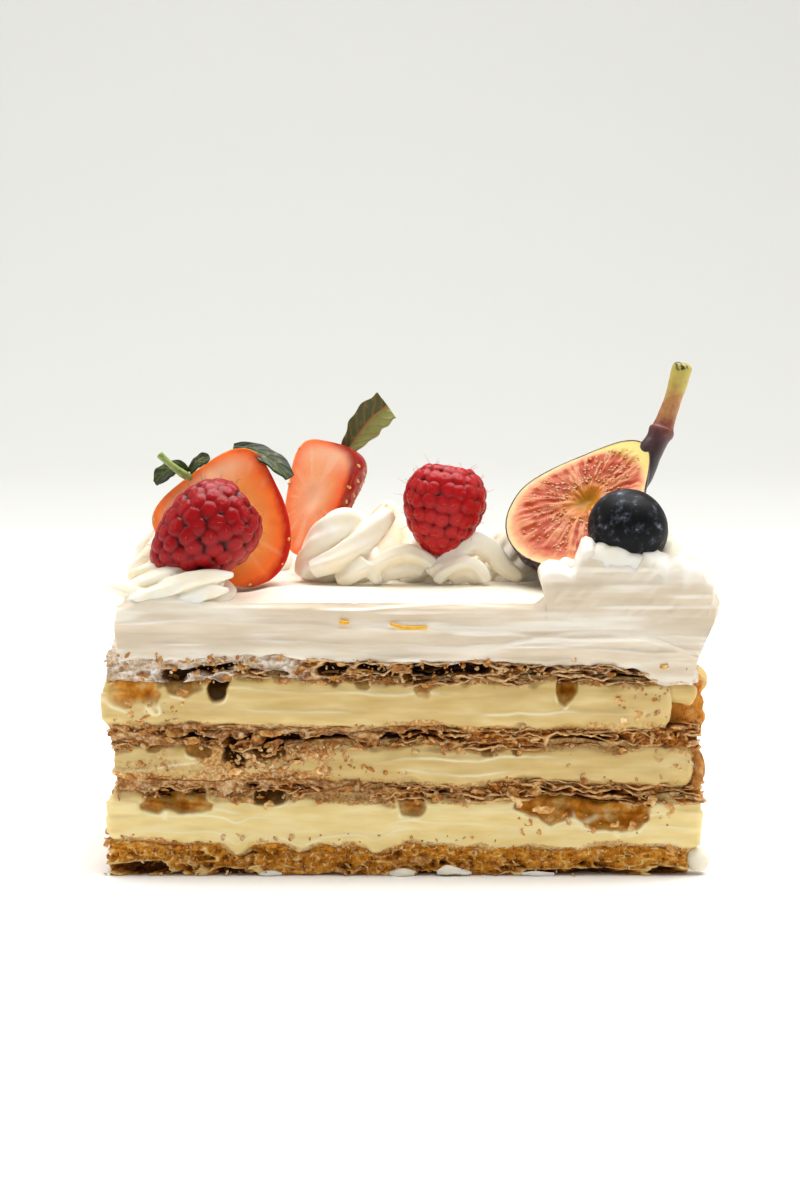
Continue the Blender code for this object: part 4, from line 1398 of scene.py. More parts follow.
def seeds_on(name, heads, outs, size, place, material, slot, run=(1.0, 0.02, 0.01)):
    """Small flattened seeds that lie along a surface, across the direction of run."""
    mesh, share = copies(name, 2, len(heads))
    form = read_spots(mesh).reshape(len(heads), share, 3) * 2 * np.array((0.7, 0.4, 0.3)) * size
    outs = outs / np.linalg.norm(outs, axis=1)[:, None]
    lengthwise = np.cross(outs, np.cross(outs, run)) if np.ndim(run) > 1 else np.cross(outs, run)
    lengthwise /= np.linalg.norm(lengthwise, axis=1)[:, None]
    frames = np.stack((lengthwise, np.cross(outs, lengthwise), outs), 1)
    form = np.einsum("kaj,kji->kai", form, frames) + heads[:, None, :]
    write_spots(mesh, put(form.reshape(-1, 3), place))
    piece(name, mesh, material, slot)


def strawberry_taper(t):
    return 0.84 + 0.42 * t**2


def strawberry(name, node, place, length, radius, material, seed_material, seed, square):
    """Half a strawberry: seeds in dimples on its skin, and fibres across its cut face."""

    def relief(x, z, across):
        flat = spots_of(x, 0.0, z)
        swell = 0.35 * (1 - across**2) - 0.5 * bell(across, 0.22)
        return (swell + 0.12 * noise(flat, 2.2, seed)) * smooth(1.0, 0.93, across)

    mesh, unit, form, face, across = cut_half(name, length, radius, strawberry_taper, relief, square=square)
    count = 170
    k = np.arange(count)
    height = 1 - 2 * (k + 0.5) / count
    turn = k * math.pi * (3 - math.sqrt(5))
    ring_size = np.sqrt(1 - height**2)
    centres = np.stack((ring_size * np.cos(turn), ring_size * np.sin(turn), height), 1)
    centres = centres[(centres[:, 1] > -0.02) & (centres[:, 2] < 0.86)]
    heads = on_berry(centres, length, radius, strawberry_taper, square)
    skin = form[~face]
    near = np.min(np.stack([np.linalg.norm(skin - head, axis=1) for head in heads]), axis=0)
    away = skin / np.linalg.norm(skin, axis=1)[:, None]
    form[~face] = skin + away * (0.25 * smooth(0.3, 1.6, near) - 0.35)[:, None]
    write_spots(mesh, put(form, place))
    angle = np.arctan2(form[:, 2], form[:, 0])
    streak = noise(spots_of(np.cos(angle) * 9, np.sin(angle) * 9, across * 1.5), 1.0, seed + 1)
    fibre = smooth(0.25, 0.75, streak) * smooth(0.2, 0.5, across) * smooth(0.97, 0.8, across) * 0.55
    shoulder = smooth(0.35, 0.95, unit[:, 2]) * smooth(1.0, 0.8, across) * 0.75
    right = put(form, place)[:, 0]
    right = (right - right.mean()) / radius
    turned = across * (1 - 0.2 * smooth(0.55, -0.3, right)) + 0.1 * smooth(0.5, 1.0, right)
    marks = {"across": np.where(face, turned, 1.0), "fibre": fibre * face, "shoulder": shoulder * face}
    write_marks(mesh, marks | {"skin": (~face) * 1.0})
    close(mesh, fill=False)
    piece(name, mesh, material, "strawberry", node)
    outs = heads / np.linalg.norm(heads, axis=1)[:, None]
    seeds_on(name + "_seeds", heads - 0.45 * outs, outs, 1.0, place, seed_material, "strawberry")


def fig_taper(t):
    return 1.13 - 0.28 * t - 0.25 * smooth(0.35, 0.9, t)


def fig_half(material, seed_material):
    """Half a fig: a pith ring round a wet heart of fibres and seeds, with a small hollow at its middle."""
    length, radius = 38.5, 14.5

    def relief(x, z, across):
        flat = spots_of(x, 0.0, z)
        angle = np.arctan2(z, x)
        fibres = noise(spots_of(np.cos(angle) * 16, np.sin(angle) * 16, across * 3), 1.0, 61)
        wet = smooth(0.88, 0.76, across)
        heart = -1.5 * bell(across - 0.02, 0.13) + 0.32 * fibres * wet * smooth(0.05, 0.2, across)
        return heart + 0.2 * noise(flat, 1.3, 62) * wet + 0.25 * smooth(0.98, 0.8, across) - 0.1

    mesh, unit, form, face, across = cut_half("fig_cut", length, radius, fig_taper, relief, 260, 200)
    angle = np.arctan2(form[:, 2], form[:, 0])
    streak = noise(spots_of(np.cos(angle) * 16, np.sin(angle) * 16, across * 3), 1.0, 61)
    fine = noise(spots_of(np.cos(angle) * 34, np.sin(angle) * 34, across * 5), 1.0, 63)
    fibre = smooth(0.0, 0.6, streak + 0.8 * fine) * smooth(0.12, 0.3, across) * smooth(0.95, 0.86, across)
    skin = form[~face]
    rib = 0.12 * np.sin(9 * np.arctan2(skin[:, 1], skin[:, 0])) + 0.12 * noise(skin, 3.0, 64)
    away = skin / np.linalg.norm(skin, axis=1)[:, None]
    form[~face] = skin + away * (rib - 0.2)[:, None]
    write_spots(mesh, put(form, FIG))
    neck = smooth(0.62, 0.9, unit[:, 2] + 0.15 * smooth(0.7, 1.0, across)) * smooth(0.35, 0.7, across)
    marks = {"across": np.where(face, across, 1.0), "fibre": 0.65 * fibre * face, "neck": neck * face}
    write_marks(mesh, marks | {"skin": (~face) | (across > 0.985)})
    close(mesh, fill=False)
    piece("fig_cut", mesh, material, "fig", "fig_half")
    rng = np.random.default_rng(5)
    count = 300
    turn = rng.uniform(0, math.tau, count)
    reach = rng.uniform(0.2, 0.8, count) ** 0.8
    unit = np.stack((np.cos(turn) * reach, np.zeros(count), np.sin(turn) * reach), 1)
    heads = on_berry(unit, length, radius, fig_taper)
    heads[:, 1] = -0.15
    outs = np.tile((0.0, -1.0, 0.0), (count, 1)) + rng.normal(0, 0.35, (count, 3))
    seeds_on("fig_seeds", heads, outs, 0.55, FIG, seed_material, "fig", heads * (1, 0, 1))


FIG_STALK = [
    ((46.8, 1.4, 73.0), 1.1),
    ((48.6, 2.4, 76.0), 1.8),
    ((50.6, 3.7, 80.2), 2.7),
    ((52.3, 4.8, 84.4), 2.7),
    ((54.0, 5.5, 87.2), 2.5),
    ((54.9, 6.0, 88.9), 2.8),
    ((55.5, 6.4, 90.4), 2.2),
    ((57.3, 7.2, 95.4), 1.9),
    ((58.7, 7.8, 100.0), 2.1),
    ((59.7, 8.1, 103.6), 2.1),
]


def blade(name, points, width, facing, fold, end_width, columns=28, rows=48):
    """A leaf along points: creased at its midrib, with side veins and a slightly wavy edge."""

    def shape(u, v):
        across = 2 * u - 1
        centre = along(points, v)
        ahead = along(points, np.minimum(v + 0.02, 1)) - along(points, np.maximum(v - 0.02, 0))
        ahead /= np.linalg.norm(ahead, axis=1)[:, None]
        side = np.cross(ahead, facing)
        side /= np.linalg.norm(side, axis=1)[:, None]
        up = np.cross(side, ahead)
        swell = 0.45 + 0.55 * smooth(0, 0.6, v) - (1 - end_width) * smooth(0.75, 1, v)
        half = width / 2 * swell * (1 + 0.06 * np.sin(23 * v + 2 * across))
        vein = bell(np.sin(math.pi * (6 * v - 1.6 * np.abs(across))), 0.25) * (np.abs(across) < 0.93)
        rib = np.maximum(bell(across, 0.09), 0.6 * vein)
        lift = np.abs(across) * half * fold + 0.12 * rib + 0.2 * np.sin(9 * v) * across**2
        spots = centre + side * (across * half)[:, None] + up * lift[:, None]
        return spots, {"rib": rib, "half": smooth(-0.1, 0.1, across)}

    mesh = bent_grid(name, columns, rows, shape)
    bm = bmesh.new()
    bm.from_mesh(mesh)
    bmesh.ops.recalc_face_normals(bm, faces=bm.faces)
    bmesh.ops.solidify(bm, geom=bm.faces[:], thickness=0.45 * MM)
    bm.to_mesh(mesh)
    bm.free()
    return mesh


def leaves_and_stalks(dark_leaf, light_leaf, stalk, fig_stalk):
    back = [(-12.8, 12.4, 83.6), (-10.2, 13.2, 87.2), (-7.0, 13.2, 91.2), (-3.6, 13.0, 93.9)]
    front = [(-36.4, 0.2, 86.1), (-32.0, -0.2, 85.7), (-27.8, -1.1, 83.5), (-24.3, -2.6, 79.9)]
    left = [(-45.8, -3.8, 81.0), (-48.2, -4.2, 82.3), (-50.6, -3.8, 81.0), (-52.8, -3.4, 78.8)]
    blades = [
        ("strawberry_back_leaf", back, 7.2, (-0.2, -1, 0.1), 0.35, 0.95, light_leaf),
        ("strawberry_front_leaf", front, 5.0, (0.5, -0.6, 0.6), 0.1, 0.5, dark_leaf),
        ("strawberry_front_leaf_left", left, 4.2, (-0.4, -0.7, 0.6), 0.3, 0.3, dark_leaf),
    ]
    for node, points, width, facing, fold, end_width, material in blades:
        mesh = blade(node + "_blade", points, width, facing, fold, end_width)
        if node == "strawberry_front_leaf_left":
            small = [(-45.4, -4.0, 81.2), (-43.8, -4.6, 83.4), (-41.2, -4.8, 84.6)]
            small = blade("small_blade", small, 3.0, facing, 0.2, 0.4, 16, 24)
            mesh = joined(node + "_blade", [mesh, small])
        piece(node + "_blade", mesh, material, "leaf", node)
    points = [(-45.2, -3.8, 79.9), (-46.8, -5.3, 81.0), (-49.2, -6.2, 83.0), (-51.8, -6.4, 85.3)]
    mesh = strand("strawberry_stalk", points, [0.7, 0.9, 0.7, 0.85], 40, 16, 0.08, 3)
    piece("strawberry_stalk", mesh, stalk, "leaf", "strawberry_front_stalk")
    points, radii = zip(*FIG_STALK)
    mesh = strand("fig_stalk", points, radii, 120, 40, 0.05, 4)
    piece("fig_stalk", mesh, fig_stalk, "fig")


# ---------------------------------------------------------------- crumbs and small things

CRUMB_SEED = 23


def copies(name, faces, count):
    """Many small balls of radius 0.5 in one mesh, one after another, and how many points each has."""
    bm = bmesh.new()
    bmesh.ops.create_icosphere(bm, subdivisions=faces, radius=0.5)
    one = bpy.data.meshes.new(name)
    bm.to_mesh(one)
    bm.free()
    share = len(one.vertices)
    whole = one
    while len(whole.vertices) < share * count:
        whole = joined(name, [whole, whole])
    bm = bmesh.new()
    bm.from_mesh(whole)
    bm.verts.ensure_lookup_table()
    bmesh.ops.delete(bm, geom=bm.verts[share * count :], context="VERTS")
    bm.to_mesh(whole)
    bm.free()
    return whole, share


def lumps(name, spots, sizes, shape, rng, faces=1, turns=None, uneven=(0.5, 0.14)):
    """Small irregular lumps: balls pressed to shape at those spots, turned at random or as told."""
    mesh, share = copies(name, faces, len(spots))
    form = read_spots(mesh).reshape(len(spots), share, 3)
    press = np.array(shape) * rng.uniform(0.7, 1.3, (len(spots), 3)) * sizes[:, None]
    if turns is None:
        turns, _ = np.linalg.qr(rng.normal(0, 1, (len(spots), 3, 3)))
    form = np.einsum("kij,kaj->kai", turns, form * press[:, None, :]) + spots[:, None, :]
    form = form.reshape(-1, 3)
    moved = np.stack([noise(form, uneven[0], 60 + axis) for axis in range(3)], 1)
    write_spots(mesh, form + uneven[1] * moved)
    return mesh


def round_the_slice(rng, count, share, first, last):
    """Places round the slice, that share of them along its front."""
    in_front = rng.uniform(size=count) < share
    return np.where(in_front, rng.uniform(first, last, count), rng.uniform(0, 1, count))


def flake_turn(about, tip, roll):
    """How a flake is turned about the upright, tipped and rolled."""
    return Matrix.Rotation(about, 3, "Z") @ Matrix.Rotation(tip, 3, "X") @ Matrix.Rotation(roll, 3, "Y")


def torn_flakes(material):
    """Thin torn flakes that lie against the broken edges of the sheets and hang over the custard."""
    rng = np.random.default_rng(CRUMB_SEED + 7)
    for sheet, row in enumerate(SHEETS):
        count = 36 if sheet else 14
        u = round_the_slice(rng, count, 0.6, 0.27, 0.65)
        x, y, nx, ny = around(u)
        edge = spots_of(x, y, 0.0)
        low, high = foot(sheet, edge), crest(sheet, edge)
        z = low - 0.7 + (high - low + 0.7) * rng.uniform(0, 1, count) ** 1.4
        z = np.maximum(z, 0.9)
        out = rng.uniform(-0.7, 0.15, count)
        spots = spots_of(fitted(x, row.left, row.right) + nx * out, y + ny * out, z)
        tip, roll = rng.normal(0, 0.45, count), rng.uniform(-0.35, 0.35, count)
        about = np.arctan2(ny, nx) + math.pi / 2 + rng.normal(0, 0.3, count)
        turns = np.array([flake_turn(*angles) for angles in zip(about, tip, roll)])
        sizes = rng.gamma(4.0, 0.75, count).clip(1.2, 5.0)
        mesh = lumps("torn", spots, sizes, (1.0, 0.07, 0.45), rng, 3, turns, (1.1, 0.42))
        piece(f"{row.node}_torn", mesh, material, "pastry")


def crumbs(pale, gold):
    """Flakes and crumbs that the knife dragged out of the pastry, thickest beside the sheets."""
    rng = np.random.default_rng(CRUMB_SEED)
    for sheet, row in enumerate(SHEETS):
        count = 430
        u = round_the_slice(rng, count, 0.62, 0.26, 0.66)
        x, y, nx, ny = around(u)
        edge = spots_of(x, y, 0.0)
        low, high = foot(sheet, edge), crest(sheet, edge)
        z = low - 0.6 + (high - low + (0.6 if sheet == 3 else 1.2)) * rng.uniform(0, 1, count)
        out = rng.uniform(-0.9, 0.45, count)
        clear = smooth(-0.5, 0.2, noise(edge, 6, 80 + sheet)) > rng.uniform(0, 1, count)
        z = np.maximum(z, 0.35)
        spots = spots_of(fitted(x, row.left, row.right) + nx * out, y + ny * out, z)[clear]
        sizes = rng.gamma(3.0, 0.19, len(spots)).clip(0.25, 1.4)
        half = len(spots) // 2
        flat = lumps("flakes", spots[:half], sizes[:half] * 1.6, (1.0, 0.75, 0.22), rng)
        round_ones = lumps("crumbs", spots[half:], sizes[half:], (1.0, 0.85, 0.7), rng)
        piece(f"{row.node}_flakes", flat, pale, "pastry")
        piece(f"{row.node}_crumbs", round_ones, gold, "pastry")


# Where the knife smeared crumbs over a custard: X from and to, height from and to, and how many.
SMEARS = [
    (-58.0, -20.0, 20.4, 24.0, 170),
    (-36.0, -8.0, 22.5, 27.6, 170),
    (-60.0, -46.0, 32.5, 36.5, 50),
    (44.0, 54.0, 33.0, 39.5, 40),
    (-20.0, 60.0, 20.2, 26.5, 60),
    (22.0, 58.0, 8.5, 13.0, 45),
    (-60.0, 20.0, 7.0, 9.0, 60),
    (-60.0, -30.0, 42.5, 46.5, 60),
]


def smears(gold, pale):
    rng = np.random.default_rng(CRUMB_SEED + 1)
    spots = []
    for x0, x1, z0, z1, count in SMEARS:
        x, z = rng.uniform(x0, x1, count), rng.uniform(z0, z1, count)
        near = noise(spots_of(x, 0.0, z), 2.6, 77) > -0.25
        spots.append(spots_of(x, FRONT - 0.25 + rng.uniform(-0.1, 0.25, count), z)[near])
    spots = np.concatenate(spots)
    sizes = rng.gamma(3.0, 0.3, len(spots)).clip(0.35, 2.2)
    cut = len(spots) // 2
    order = rng.permutation(len(spots))
    mesh = lumps("smeared_crumbs", spots[order[:cut]], sizes[:cut], (1, 0.6, 0.7), rng)
    piece("smeared_crumbs", mesh, gold, "pastry")
    mesh = lumps("smeared_flakes", spots[order[cut:]], sizes[cut:], (1.2, 0.5, 0.8), rng)
    piece("smeared_flakes", mesh, pale, "pastry")


# Larger flakes that the knife left lying on the cut front: X, height and size.
DRAGGED_FLAKES = [
    (23.1, 15.5, 3.4), (28.4, 14.0, 4.6), (25.0, 12.0, 3.0), (27.4, 9.6, 3.4), (24.6, 9.4, 2.6),
    (37.8, 10.2, 3.0), (43.4, 10.8, 2.8), (46.8, 10.4, 2.6), (50.6, 15.6, 3.6), (54.6, 14.2, 4.0),
    (52.4, 12.8, 2.8), (54.9, 5.6, 2.6), (44.0, 36.8, 3.2), (47.6, 34.4, 3.0), (45.0, 32.4, 2.8),
    (55.6, 22.8, 3.2), (52.0, 24.6, 2.6), (34.7, 45.6, 2.4), (53.4, 44.6, 2.8), (57.6, 44.2, 2.6),
    (-45.6, 38.4, 3.2), (-45.0, 35.4, 3.0), (-56.4, 34.8, 3.4), (-53.6, 33.4, 2.8), (-28.2, 15.2, 2.8),
    (-37.0, 23.0, 3.0), (-34.6, 21.8, 3.2), (-31.4, 24.6, 3.2), (-22.6, 23.8, 2.8), (-17.4, 22.4, 2.4),
]


def dragged_flakes(material):
    rng = np.random.default_rng(CRUMB_SEED + 12)
    x, z, sizes = np.array(DRAGGED_FLAKES).T
    count = len(sizes)
    turns = np.array([flake_turn(*angles) for angles in rng.normal(0, (0.25, 0.5, 0.9), (count, 3))])
    spots = spots_of(x, FRONT - rng.uniform(0.1, 0.5, count), z)
    mesh = lumps("dragged_flakes", spots, sizes, (0.9, 0.14, 0.55), rng, 6, turns, (0.7, 0.5))
    piece("dragged_flakes", mesh, material, "pastry")


def zest(material):
    """Slivers of orange zest left in the cream."""
    paths = [
        ([(-3.0, -30.55, 52.9), (-1.5, -30.8, 52.3), (0.6, -30.85, 52.0),
          (3.0, -30.8, 52.1), (4.6, -30.6, 52.0)], 0.36),
        ([(-13.4, -30.6, 53.4), (-12.4, -30.75, 53.0), (-11.4, -30.6, 53.1)], 0.4),
    ]
    slivers = [strand("sliver", points, [width] * len(points), 30, 10, 0.2, 5) for points, width in paths]
    piece("orange_zest", joined("orange_zest", slivers), material, "pastry")


# Custard pressed out at the right end, a round drop of cream and flat bits of it at the foot: X, Y, Z and
# radius along each.
CUSTARD_BLOBS = [
    [(49.5, -25.5, 39.0, 2.2), (53.0, -26.0, 38.8, 2.5), (56.5, -26.0, 38.0, 2.5),
     (59.6, -25.4, 36.8, 2.1)],
    [(58.0, -10.0, 40.5, 2.2), (61.0, -12.0, 39.0, 2.4), (61.6, -15.0, 37.4, 1.8)],
    [(54.0, -26.0, 25.4, 1.6), (57.0, -26.0, 24.6, 2.0), (59.6, -25.6, 23.4, 1.8)],
]
ROUND_DROP = [
    [(60.4, -27.4, 1.0, 1.9), (60.7, -27.6, 3.1, 2.5), (60.5, -27.2, 5.4, 1.7)],
]
CREAM_BITS = [
    [(6.6, -29.8, 0.6, 0.4), (8.8, -30.2, 1.2, 1.1), (11.0, -30.0, 1.0, 0.8),
     (13.8, -29.8, 0.5, 0.4)],
    [(-3.2, -29.8, 0.5, 0.35), (-0.6, -30.1, 0.8, 0.75), (2.4, -29.8, 0.5, 0.35)],
    [(-30.0, -29.8, 0.4, 0.3), (-27.8, -30.1, 0.6, 0.55), (-25.4, -29.8, 0.35, 0.3)],
    [(24.0, -29.8, 0.4, 0.3), (27.0, -30.1, 0.55, 0.5), (31.0, -29.8, 0.35, 0.3)],
]


def right_end(crust, fold, cream, custard_material):
    """The browned, folded end of a sheet at the right, with cream pressed out beside it."""

    def shape(u, v, w):
        x = 54.0 + 7.6 * (u + 1) / 2
        y = -1.0 + 22.0 * v
        z = 28.6 + 11.0 * w
        at = spots_of(x, y, z)
        bulge = 1.3 * rough(at, (5, 6, 3), 820, 4) * (np.abs(u) > 0.99)
        marks = {"edge": 0.6 * smooth(0.1, 0.7, rough(at, 2.0, 823)), "smear": 0 * u, "deep": 0 * u}
        y, z = y + 1.1 * noise(at, 4, 821), z + 0.6 * noise(at, 4, 822)
        return spots_of(x + bulge * np.sign(u), y, z), marks

    end = slab_grid("pastry_end_crust", 16, 90, 30, shape)
    piece("pastry_end_crust", end, crust, "pastry", "pastry_end")
    blobs = ropes("blob", CUSTARD_BLOBS, 50, 24, 0.08, 8, 0.0)
    piece("custard_blobs", melted("custard_blobs", blobs, 0.3, 3), custard_material, "custard")
    folded = strand(
        "folded_crust",
        [(58.4, -28.2, 27.2), (60.4, -28.5, 24.8), (60.7, -28.6, 21.0), (59.4, -28.4, 17.8)],
        [0.7, 1.0, 1.1, 0.6],
        columns=120,
        rows=48,
        uneven=0.3,
        seed=16,
        ridges=0.1,
    )
    piece("folded_crust", folded, fold, "pastry")
    drops = ropes("drop", ROUND_DROP, 40, 24, 0.1, 11, 0.0) + ropes("bit", CREAM_BITS, 60, 24, 0.4, 12, 0.0)
    piece("cream_drops", joined("cream_drops", drops), cream, "whipped_cream")


# ---------------------------------------------------------------- the slice


def build_slice():
    cream = whipped_cream()
    cut_cream = drawn_cream()
    # The lowest custard is painted lighter than the two above it, for the light that the white floor throws up
    # onto it.
    custards = [
        custard_cream("custard_low", "#ebd08a", "#f4de9c", "#fae8b4"),
        custard_cream("custard_mid", "#cfb16c", "#d9be7e", "#e2ca8e"),
        custard_cream("custard_top", "#d0b26e", "#dbc080", "#e5cd92"),
    ]
    tan_smears = ("#a46c34", "#d09c64", "#ecd0a4")
    base_leaf = baked_leaf("baked_base", "#5a2c06", "#cc8018", "#e6a034", "#f6c064", "#ffe49c", tan_smears)
    inner_leaf = baked_leaf("baked_inner", "#331204", "#8e4c0c", "#b87020", "#d99c4c", "#f6ca8c", tan_smears)
    pale_smears = ("#c8a884", "#e8d6c2", "#f8f0e6")
    top_leaf = baked_leaf("baked_top", "#2c0f03", "#844a14", "#ac722e", "#cf9a5a", "#f2cc98", pale_smears)
    crust = baked_leaf("baked_crust", "#9c560e", "#d98a2a", "#e59c40", "#f0b868", "#f2c684")
    for sheet, material in enumerate((base_leaf, inner_leaf, inner_leaf, top_leaf)):
        pastry_sheet(sheet, material)
    for index, material in enumerate(custards):
        custard(index, material)
    whipped_slab(cream)
    cream_front(cut_cream)
    swirls(cream)
    # Browned fold: the outermost leaf of the sheet, baked darkest, dull and flaky.
    browned = [(0.3, "#8a4a14"), (0.5, "#b8762c"), (0.7, "#e0ac64")]
    fold = plain_finish("browned_fold", browned, 0.6, 6.0, 0.8, 0.4, Roughness=0.65)
    right_end(crust, fold, cream, custards[2])

    # Dry thread: a raspberry's withered style, rust coloured and matt.
    threads = plain_finish("dry_thread", [(0.3, "#9c4a34"), (0.7, "#cf8c64")], 1.0, Roughness=0.6)
    left_flesh = berry_flesh("raspberry_dark", "#300103", "#860208", "#a20810")
    centre_flesh = berry_flesh("raspberry_bright", "#440104", "#9a050a", "#b41418")
    raspberry("raspberry_left_beads", "raspberry_left", RASPBERRY_LEFT, 25.6, 10.0, 3.2, left_flesh, threads)
    raspberry(
        "raspberry_centre_beads", "raspberry_centre", RASPBERRY_CENTRE, 20.4, 9.2, 2.95, centre_flesh, threads
    )
    # Blueberry bloom: almost black skin under pale wax that is rubbed off in patches.
    waxed = [(0.42, "#010102"), (0.52, "#090a0d"), (0.6, "#343840"), (0.72, "#8c929c")]
    bloom = plain_finish(
        "blueberry_bloom", waxed, 0.42, 9.0, 0.2, 0.12, Roughness=0.5, Specular_IOR_Level=0.16
    )
    blueberry(bloom)
    # Achene: a strawberry's small hard fruit, straw yellow with a slight shine.
    achene = plain_finish("achene", [(0.3, "#c98a2c"), (0.7, "#f0d27a")], 1.0, Roughness=0.4)
    front_flesh = strawberry_flesh("strawberry_front", "#ffc08a", "#ffa254", "#ff7a2e", "#c0200c", 0.3)
    back_flesh = strawberry_flesh("strawberry_back", "#ffcaa0", "#ffa66c", "#ff743a", "#a0180a", 0.7)
    front, back = "strawberry_front", "strawberry_back"
    strawberry(front + "_half", front, STRAWBERRY_FRONT, 28.4, 13.2, front_flesh, achene, 41, 3.2)
    strawberry(back + "_half", back, STRAWBERRY_BACK, 25.5, 9.0, back_flesh, achene, 45, 3.6)
    # Fig seed: hard and pale, filmed with juice.
    fig_seed = plain_finish("fig_seed", [(0.3, "#c87c48"), (0.7, "#e0ac7c")], 1.0, Roughness=0.4)
    fig_half(fig_flesh(), fig_seed)
    # Calyx and mint leaf: fresh and waxy, and a calyx's stalk, paler and smooth.
    dark_leaf = leaf_finish("calyx_leaf", "#1c260e", "#324016", "#566428")
    light_leaf = leaf_finish("mint_leaf", "#4a5222", "#8f9652", "#b0783c")
    stalk = plain_finish("green_stalk", [(0.3, "#6f8a3c"), (0.7, "#a9bb6c")], 0.8, Roughness=0.5)
    # Fig stalk: purple skin that turns to woody yellow green, dried dark where it was cut.
    ripened = [
        (0.3, "#2c2022"), (0.5, "#54282a"), (0.64, "#80402f"), (0.78, "#b8834a"),
        (0.88, "#c0ae54"), (0.975, "#bcb04e"), (0.995, "#3c301c"),
    ]
    fig_stalk = run_finish("fig_stalk", ripened, 0.7, Roughness=0.45)
    leaves_and_stalks(dark_leaf, light_leaf, stalk, fig_stalk)

    # Flakes and crumbs of baked puff pastry: dry and matt, from pale inner leaves to the browned crust.
    pale = [(0.3, "#a8703a"), (0.5, "#d0a468"), (0.7, "#f0dcb4")]
    gold = [(0.3, "#8a4c14"), (0.5, "#c07c30"), (0.7, "#e4b26c")]
    torn = [(0.32, "#6c380a"), (0.46, "#a8681f"), (0.58, "#cf9a52"), (0.7, "#eed3a0")]
    golden = [(0.3, "#b8742a"), (0.5, "#e0a85c"), (0.68, "#f6deaa")]
    pale_flake = plain_finish("pale_flake", pale, 0.7, Roughness=0.6)
    gold_crumb = plain_finish("gold_crumb", gold, 0.7, Roughness=0.6)
    torn_leaf = plain_finish("torn_leaf", torn, 0.6, 6.0, 0.7, 0.4, Roughness=0.65)
    torn_flakes(torn_leaf)
    crumbs(pale_flake, gold_crumb)
    smears(gold_crumb, pale_flake)
    dragged_flakes(plain_finish("golden_flake", golden, 0.6, 6.0, 0.6, 0.3, Roughness=0.6))
    # Orange zest: bright oily peel.
    zest(plain_finish("zest", [(0.3, "#dd9a10"), (0.7, "#f6c22c")], 1.0, Roughness=0.4))


# ---------------------------------------------------------------- stage, light and camera

# Plain matt paper, white under the slice and pale grey behind it, the grey a painted shade on the backdrop, and
# how far behind the one becomes the other.
FLOOR_COLOUR, BACKDROP_COLOUR = "#f6f6f4", "#c8c8c4"
BACKDROP_FROM, BACKDROP_TO = 0.25, 0.6  # metres


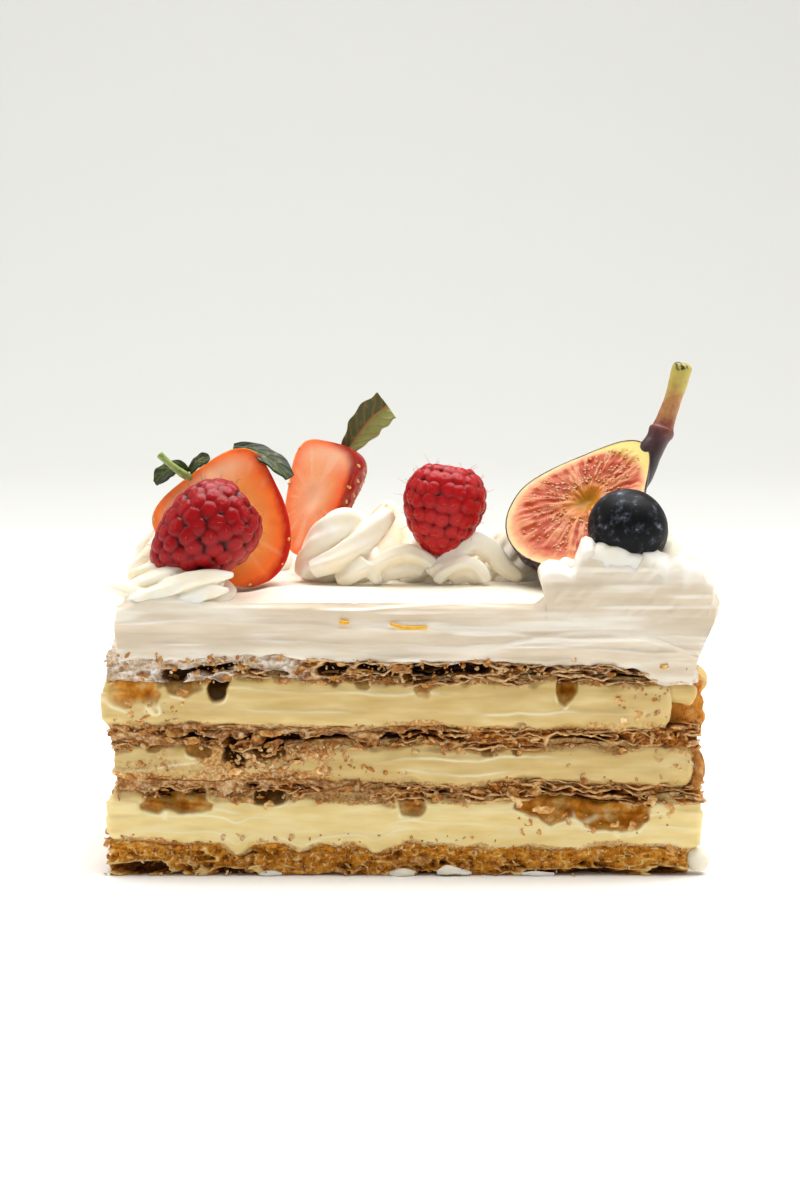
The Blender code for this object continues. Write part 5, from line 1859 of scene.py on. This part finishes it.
def stage():
    """A pale sweep: a floor that curves up into a wall."""
    far, bend, tall = 1.25, 0.45, 2.6
    turns = np.linspace(0, math.pi / 2, 24)
    curve = [(far - bend + bend * math.sin(turn), bend - bend * math.cos(turn)) for turn in turns]
    profile = [(-3.0, 0.0), *curve, (far, tall)]
    bm = bmesh.new()
    row = [bm.verts.new((-4.0, y, z)) for y, z in profile]
    edges = [bm.edges.new(pair) for pair in zip(row, row[1:])]
    lifted = bmesh.ops.extrude_edge_only(bm, edges=edges)
    far_side = [v for v in lifted["geom"] if isinstance(v, bmesh.types.BMVert)]
    bmesh.ops.translate(bm, verts=far_side, vec=(8.0, 0, 0))
    bmesh.ops.recalc_face_normals(bm, faces=bm.faces)
    mesh = bpy.data.meshes.new("sweep")
    bm.to_mesh(mesh)
    bm.free()
    mesh.shade_smooth()
    sweep = bpy.data.objects.new("sweep", mesh)
    bpy.context.scene.collection.objects.link(sweep)
    material = bpy.data.materials.new("paper_sweep")
    material.use_nodes = True
    tree = material.node_tree
    shader = tree.nodes["Principled BSDF"]
    shader.inputs["Roughness"].default_value = 0.9
    shader.inputs["Specular IOR Level"].default_value = 0.0
    behind = add(tree, "SeparateXYZ", {"Vector": add(tree, "TexCoord").outputs["Object"]}).outputs["Y"]
    share = add(tree, "MapRange", {"Value": behind, "From Min": BACKDROP_FROM, "From Max": BACKDROP_TO})
    papers = {COLOUR_A: colour(FLOOR_COLOUR), COLOUR_B: colour(BACKDROP_COLOUR)}
    paper = add(tree, "Mix", {FACTOR: share.outputs["Result"], **papers}, data_type="RGBA")
    tree.links.new(paper.outputs[MIXED], shader.inputs["Base Color"])
    mesh.materials.append(material)


def light(name, spot, aim, size, power, tint):
    lamp = bpy.data.lights.new(name, "AREA")
    lamp.shape = "RECTANGLE"
    lamp.size, lamp.size_y = size
    lamp.energy = power
    lamp.color = colour(tint)[:3]
    obj = bpy.data.objects.new(name, lamp)
    obj.location = spot
    obj.rotation_euler = (Vector(aim) - Vector(spot)).to_track_quat("-Z", "Y").to_euler()
    bpy.context.scene.collection.objects.link(obj)


def lights():
    light("overhead", (0.1, 0.22, 1.2), (0, 0, 0.03), (1.6, 1.1), 31.0, "#ffffff")
    light("front_fill", (-0.3, -1.6, 0.6), (0, 0, 0.05), (1.6, 0.9), 2.6, "#fffaf4")
    light("left_wall", (-1.1, 0.1, 0.55), (0, 0, 0.04), (0.9, 1.0), 3.0, "#fffaf2")
    light("right_wall", (1.1, 0.2, 0.55), (0, 0, 0.04), (0.9, 1.0), 3.0, "#fffaf2")
    world = bpy.data.worlds.new("studio")
    world.use_nodes = True
    background = world.node_tree.nodes["Background"]
    background.inputs["Color"].default_value = colour("#f7f8fa")
    background.inputs["Strength"].default_value = 0.2
    bpy.context.scene.world = world
    bpy.context.scene.view_settings.view_transform = "Standard"


CAMERA_TILT = math.radians(8)
CAMERA_AIM = Vector((-0.001, -0.030, 0.0576))
CAMERA_AWAY = 0.65
LENS = 95.5


def camera():
    data = bpy.data.cameras.new("camera")
    data.lens = LENS
    data.sensor_width = 36.0
    data.clip_start, data.clip_end = 0.01, 20.0
    obj = bpy.data.objects.new("camera", data)
    look = Vector((0, math.cos(CAMERA_TILT), -math.sin(CAMERA_TILT)))
    obj.location = CAMERA_AIM - look * CAMERA_AWAY
    obj.rotation_euler = look.to_track_quat("-Z", "Y").to_euler()
    bpy.context.scene.collection.objects.link(obj)
    bpy.context.scene.camera = obj


build_slice()
stage()
lights()
camera()
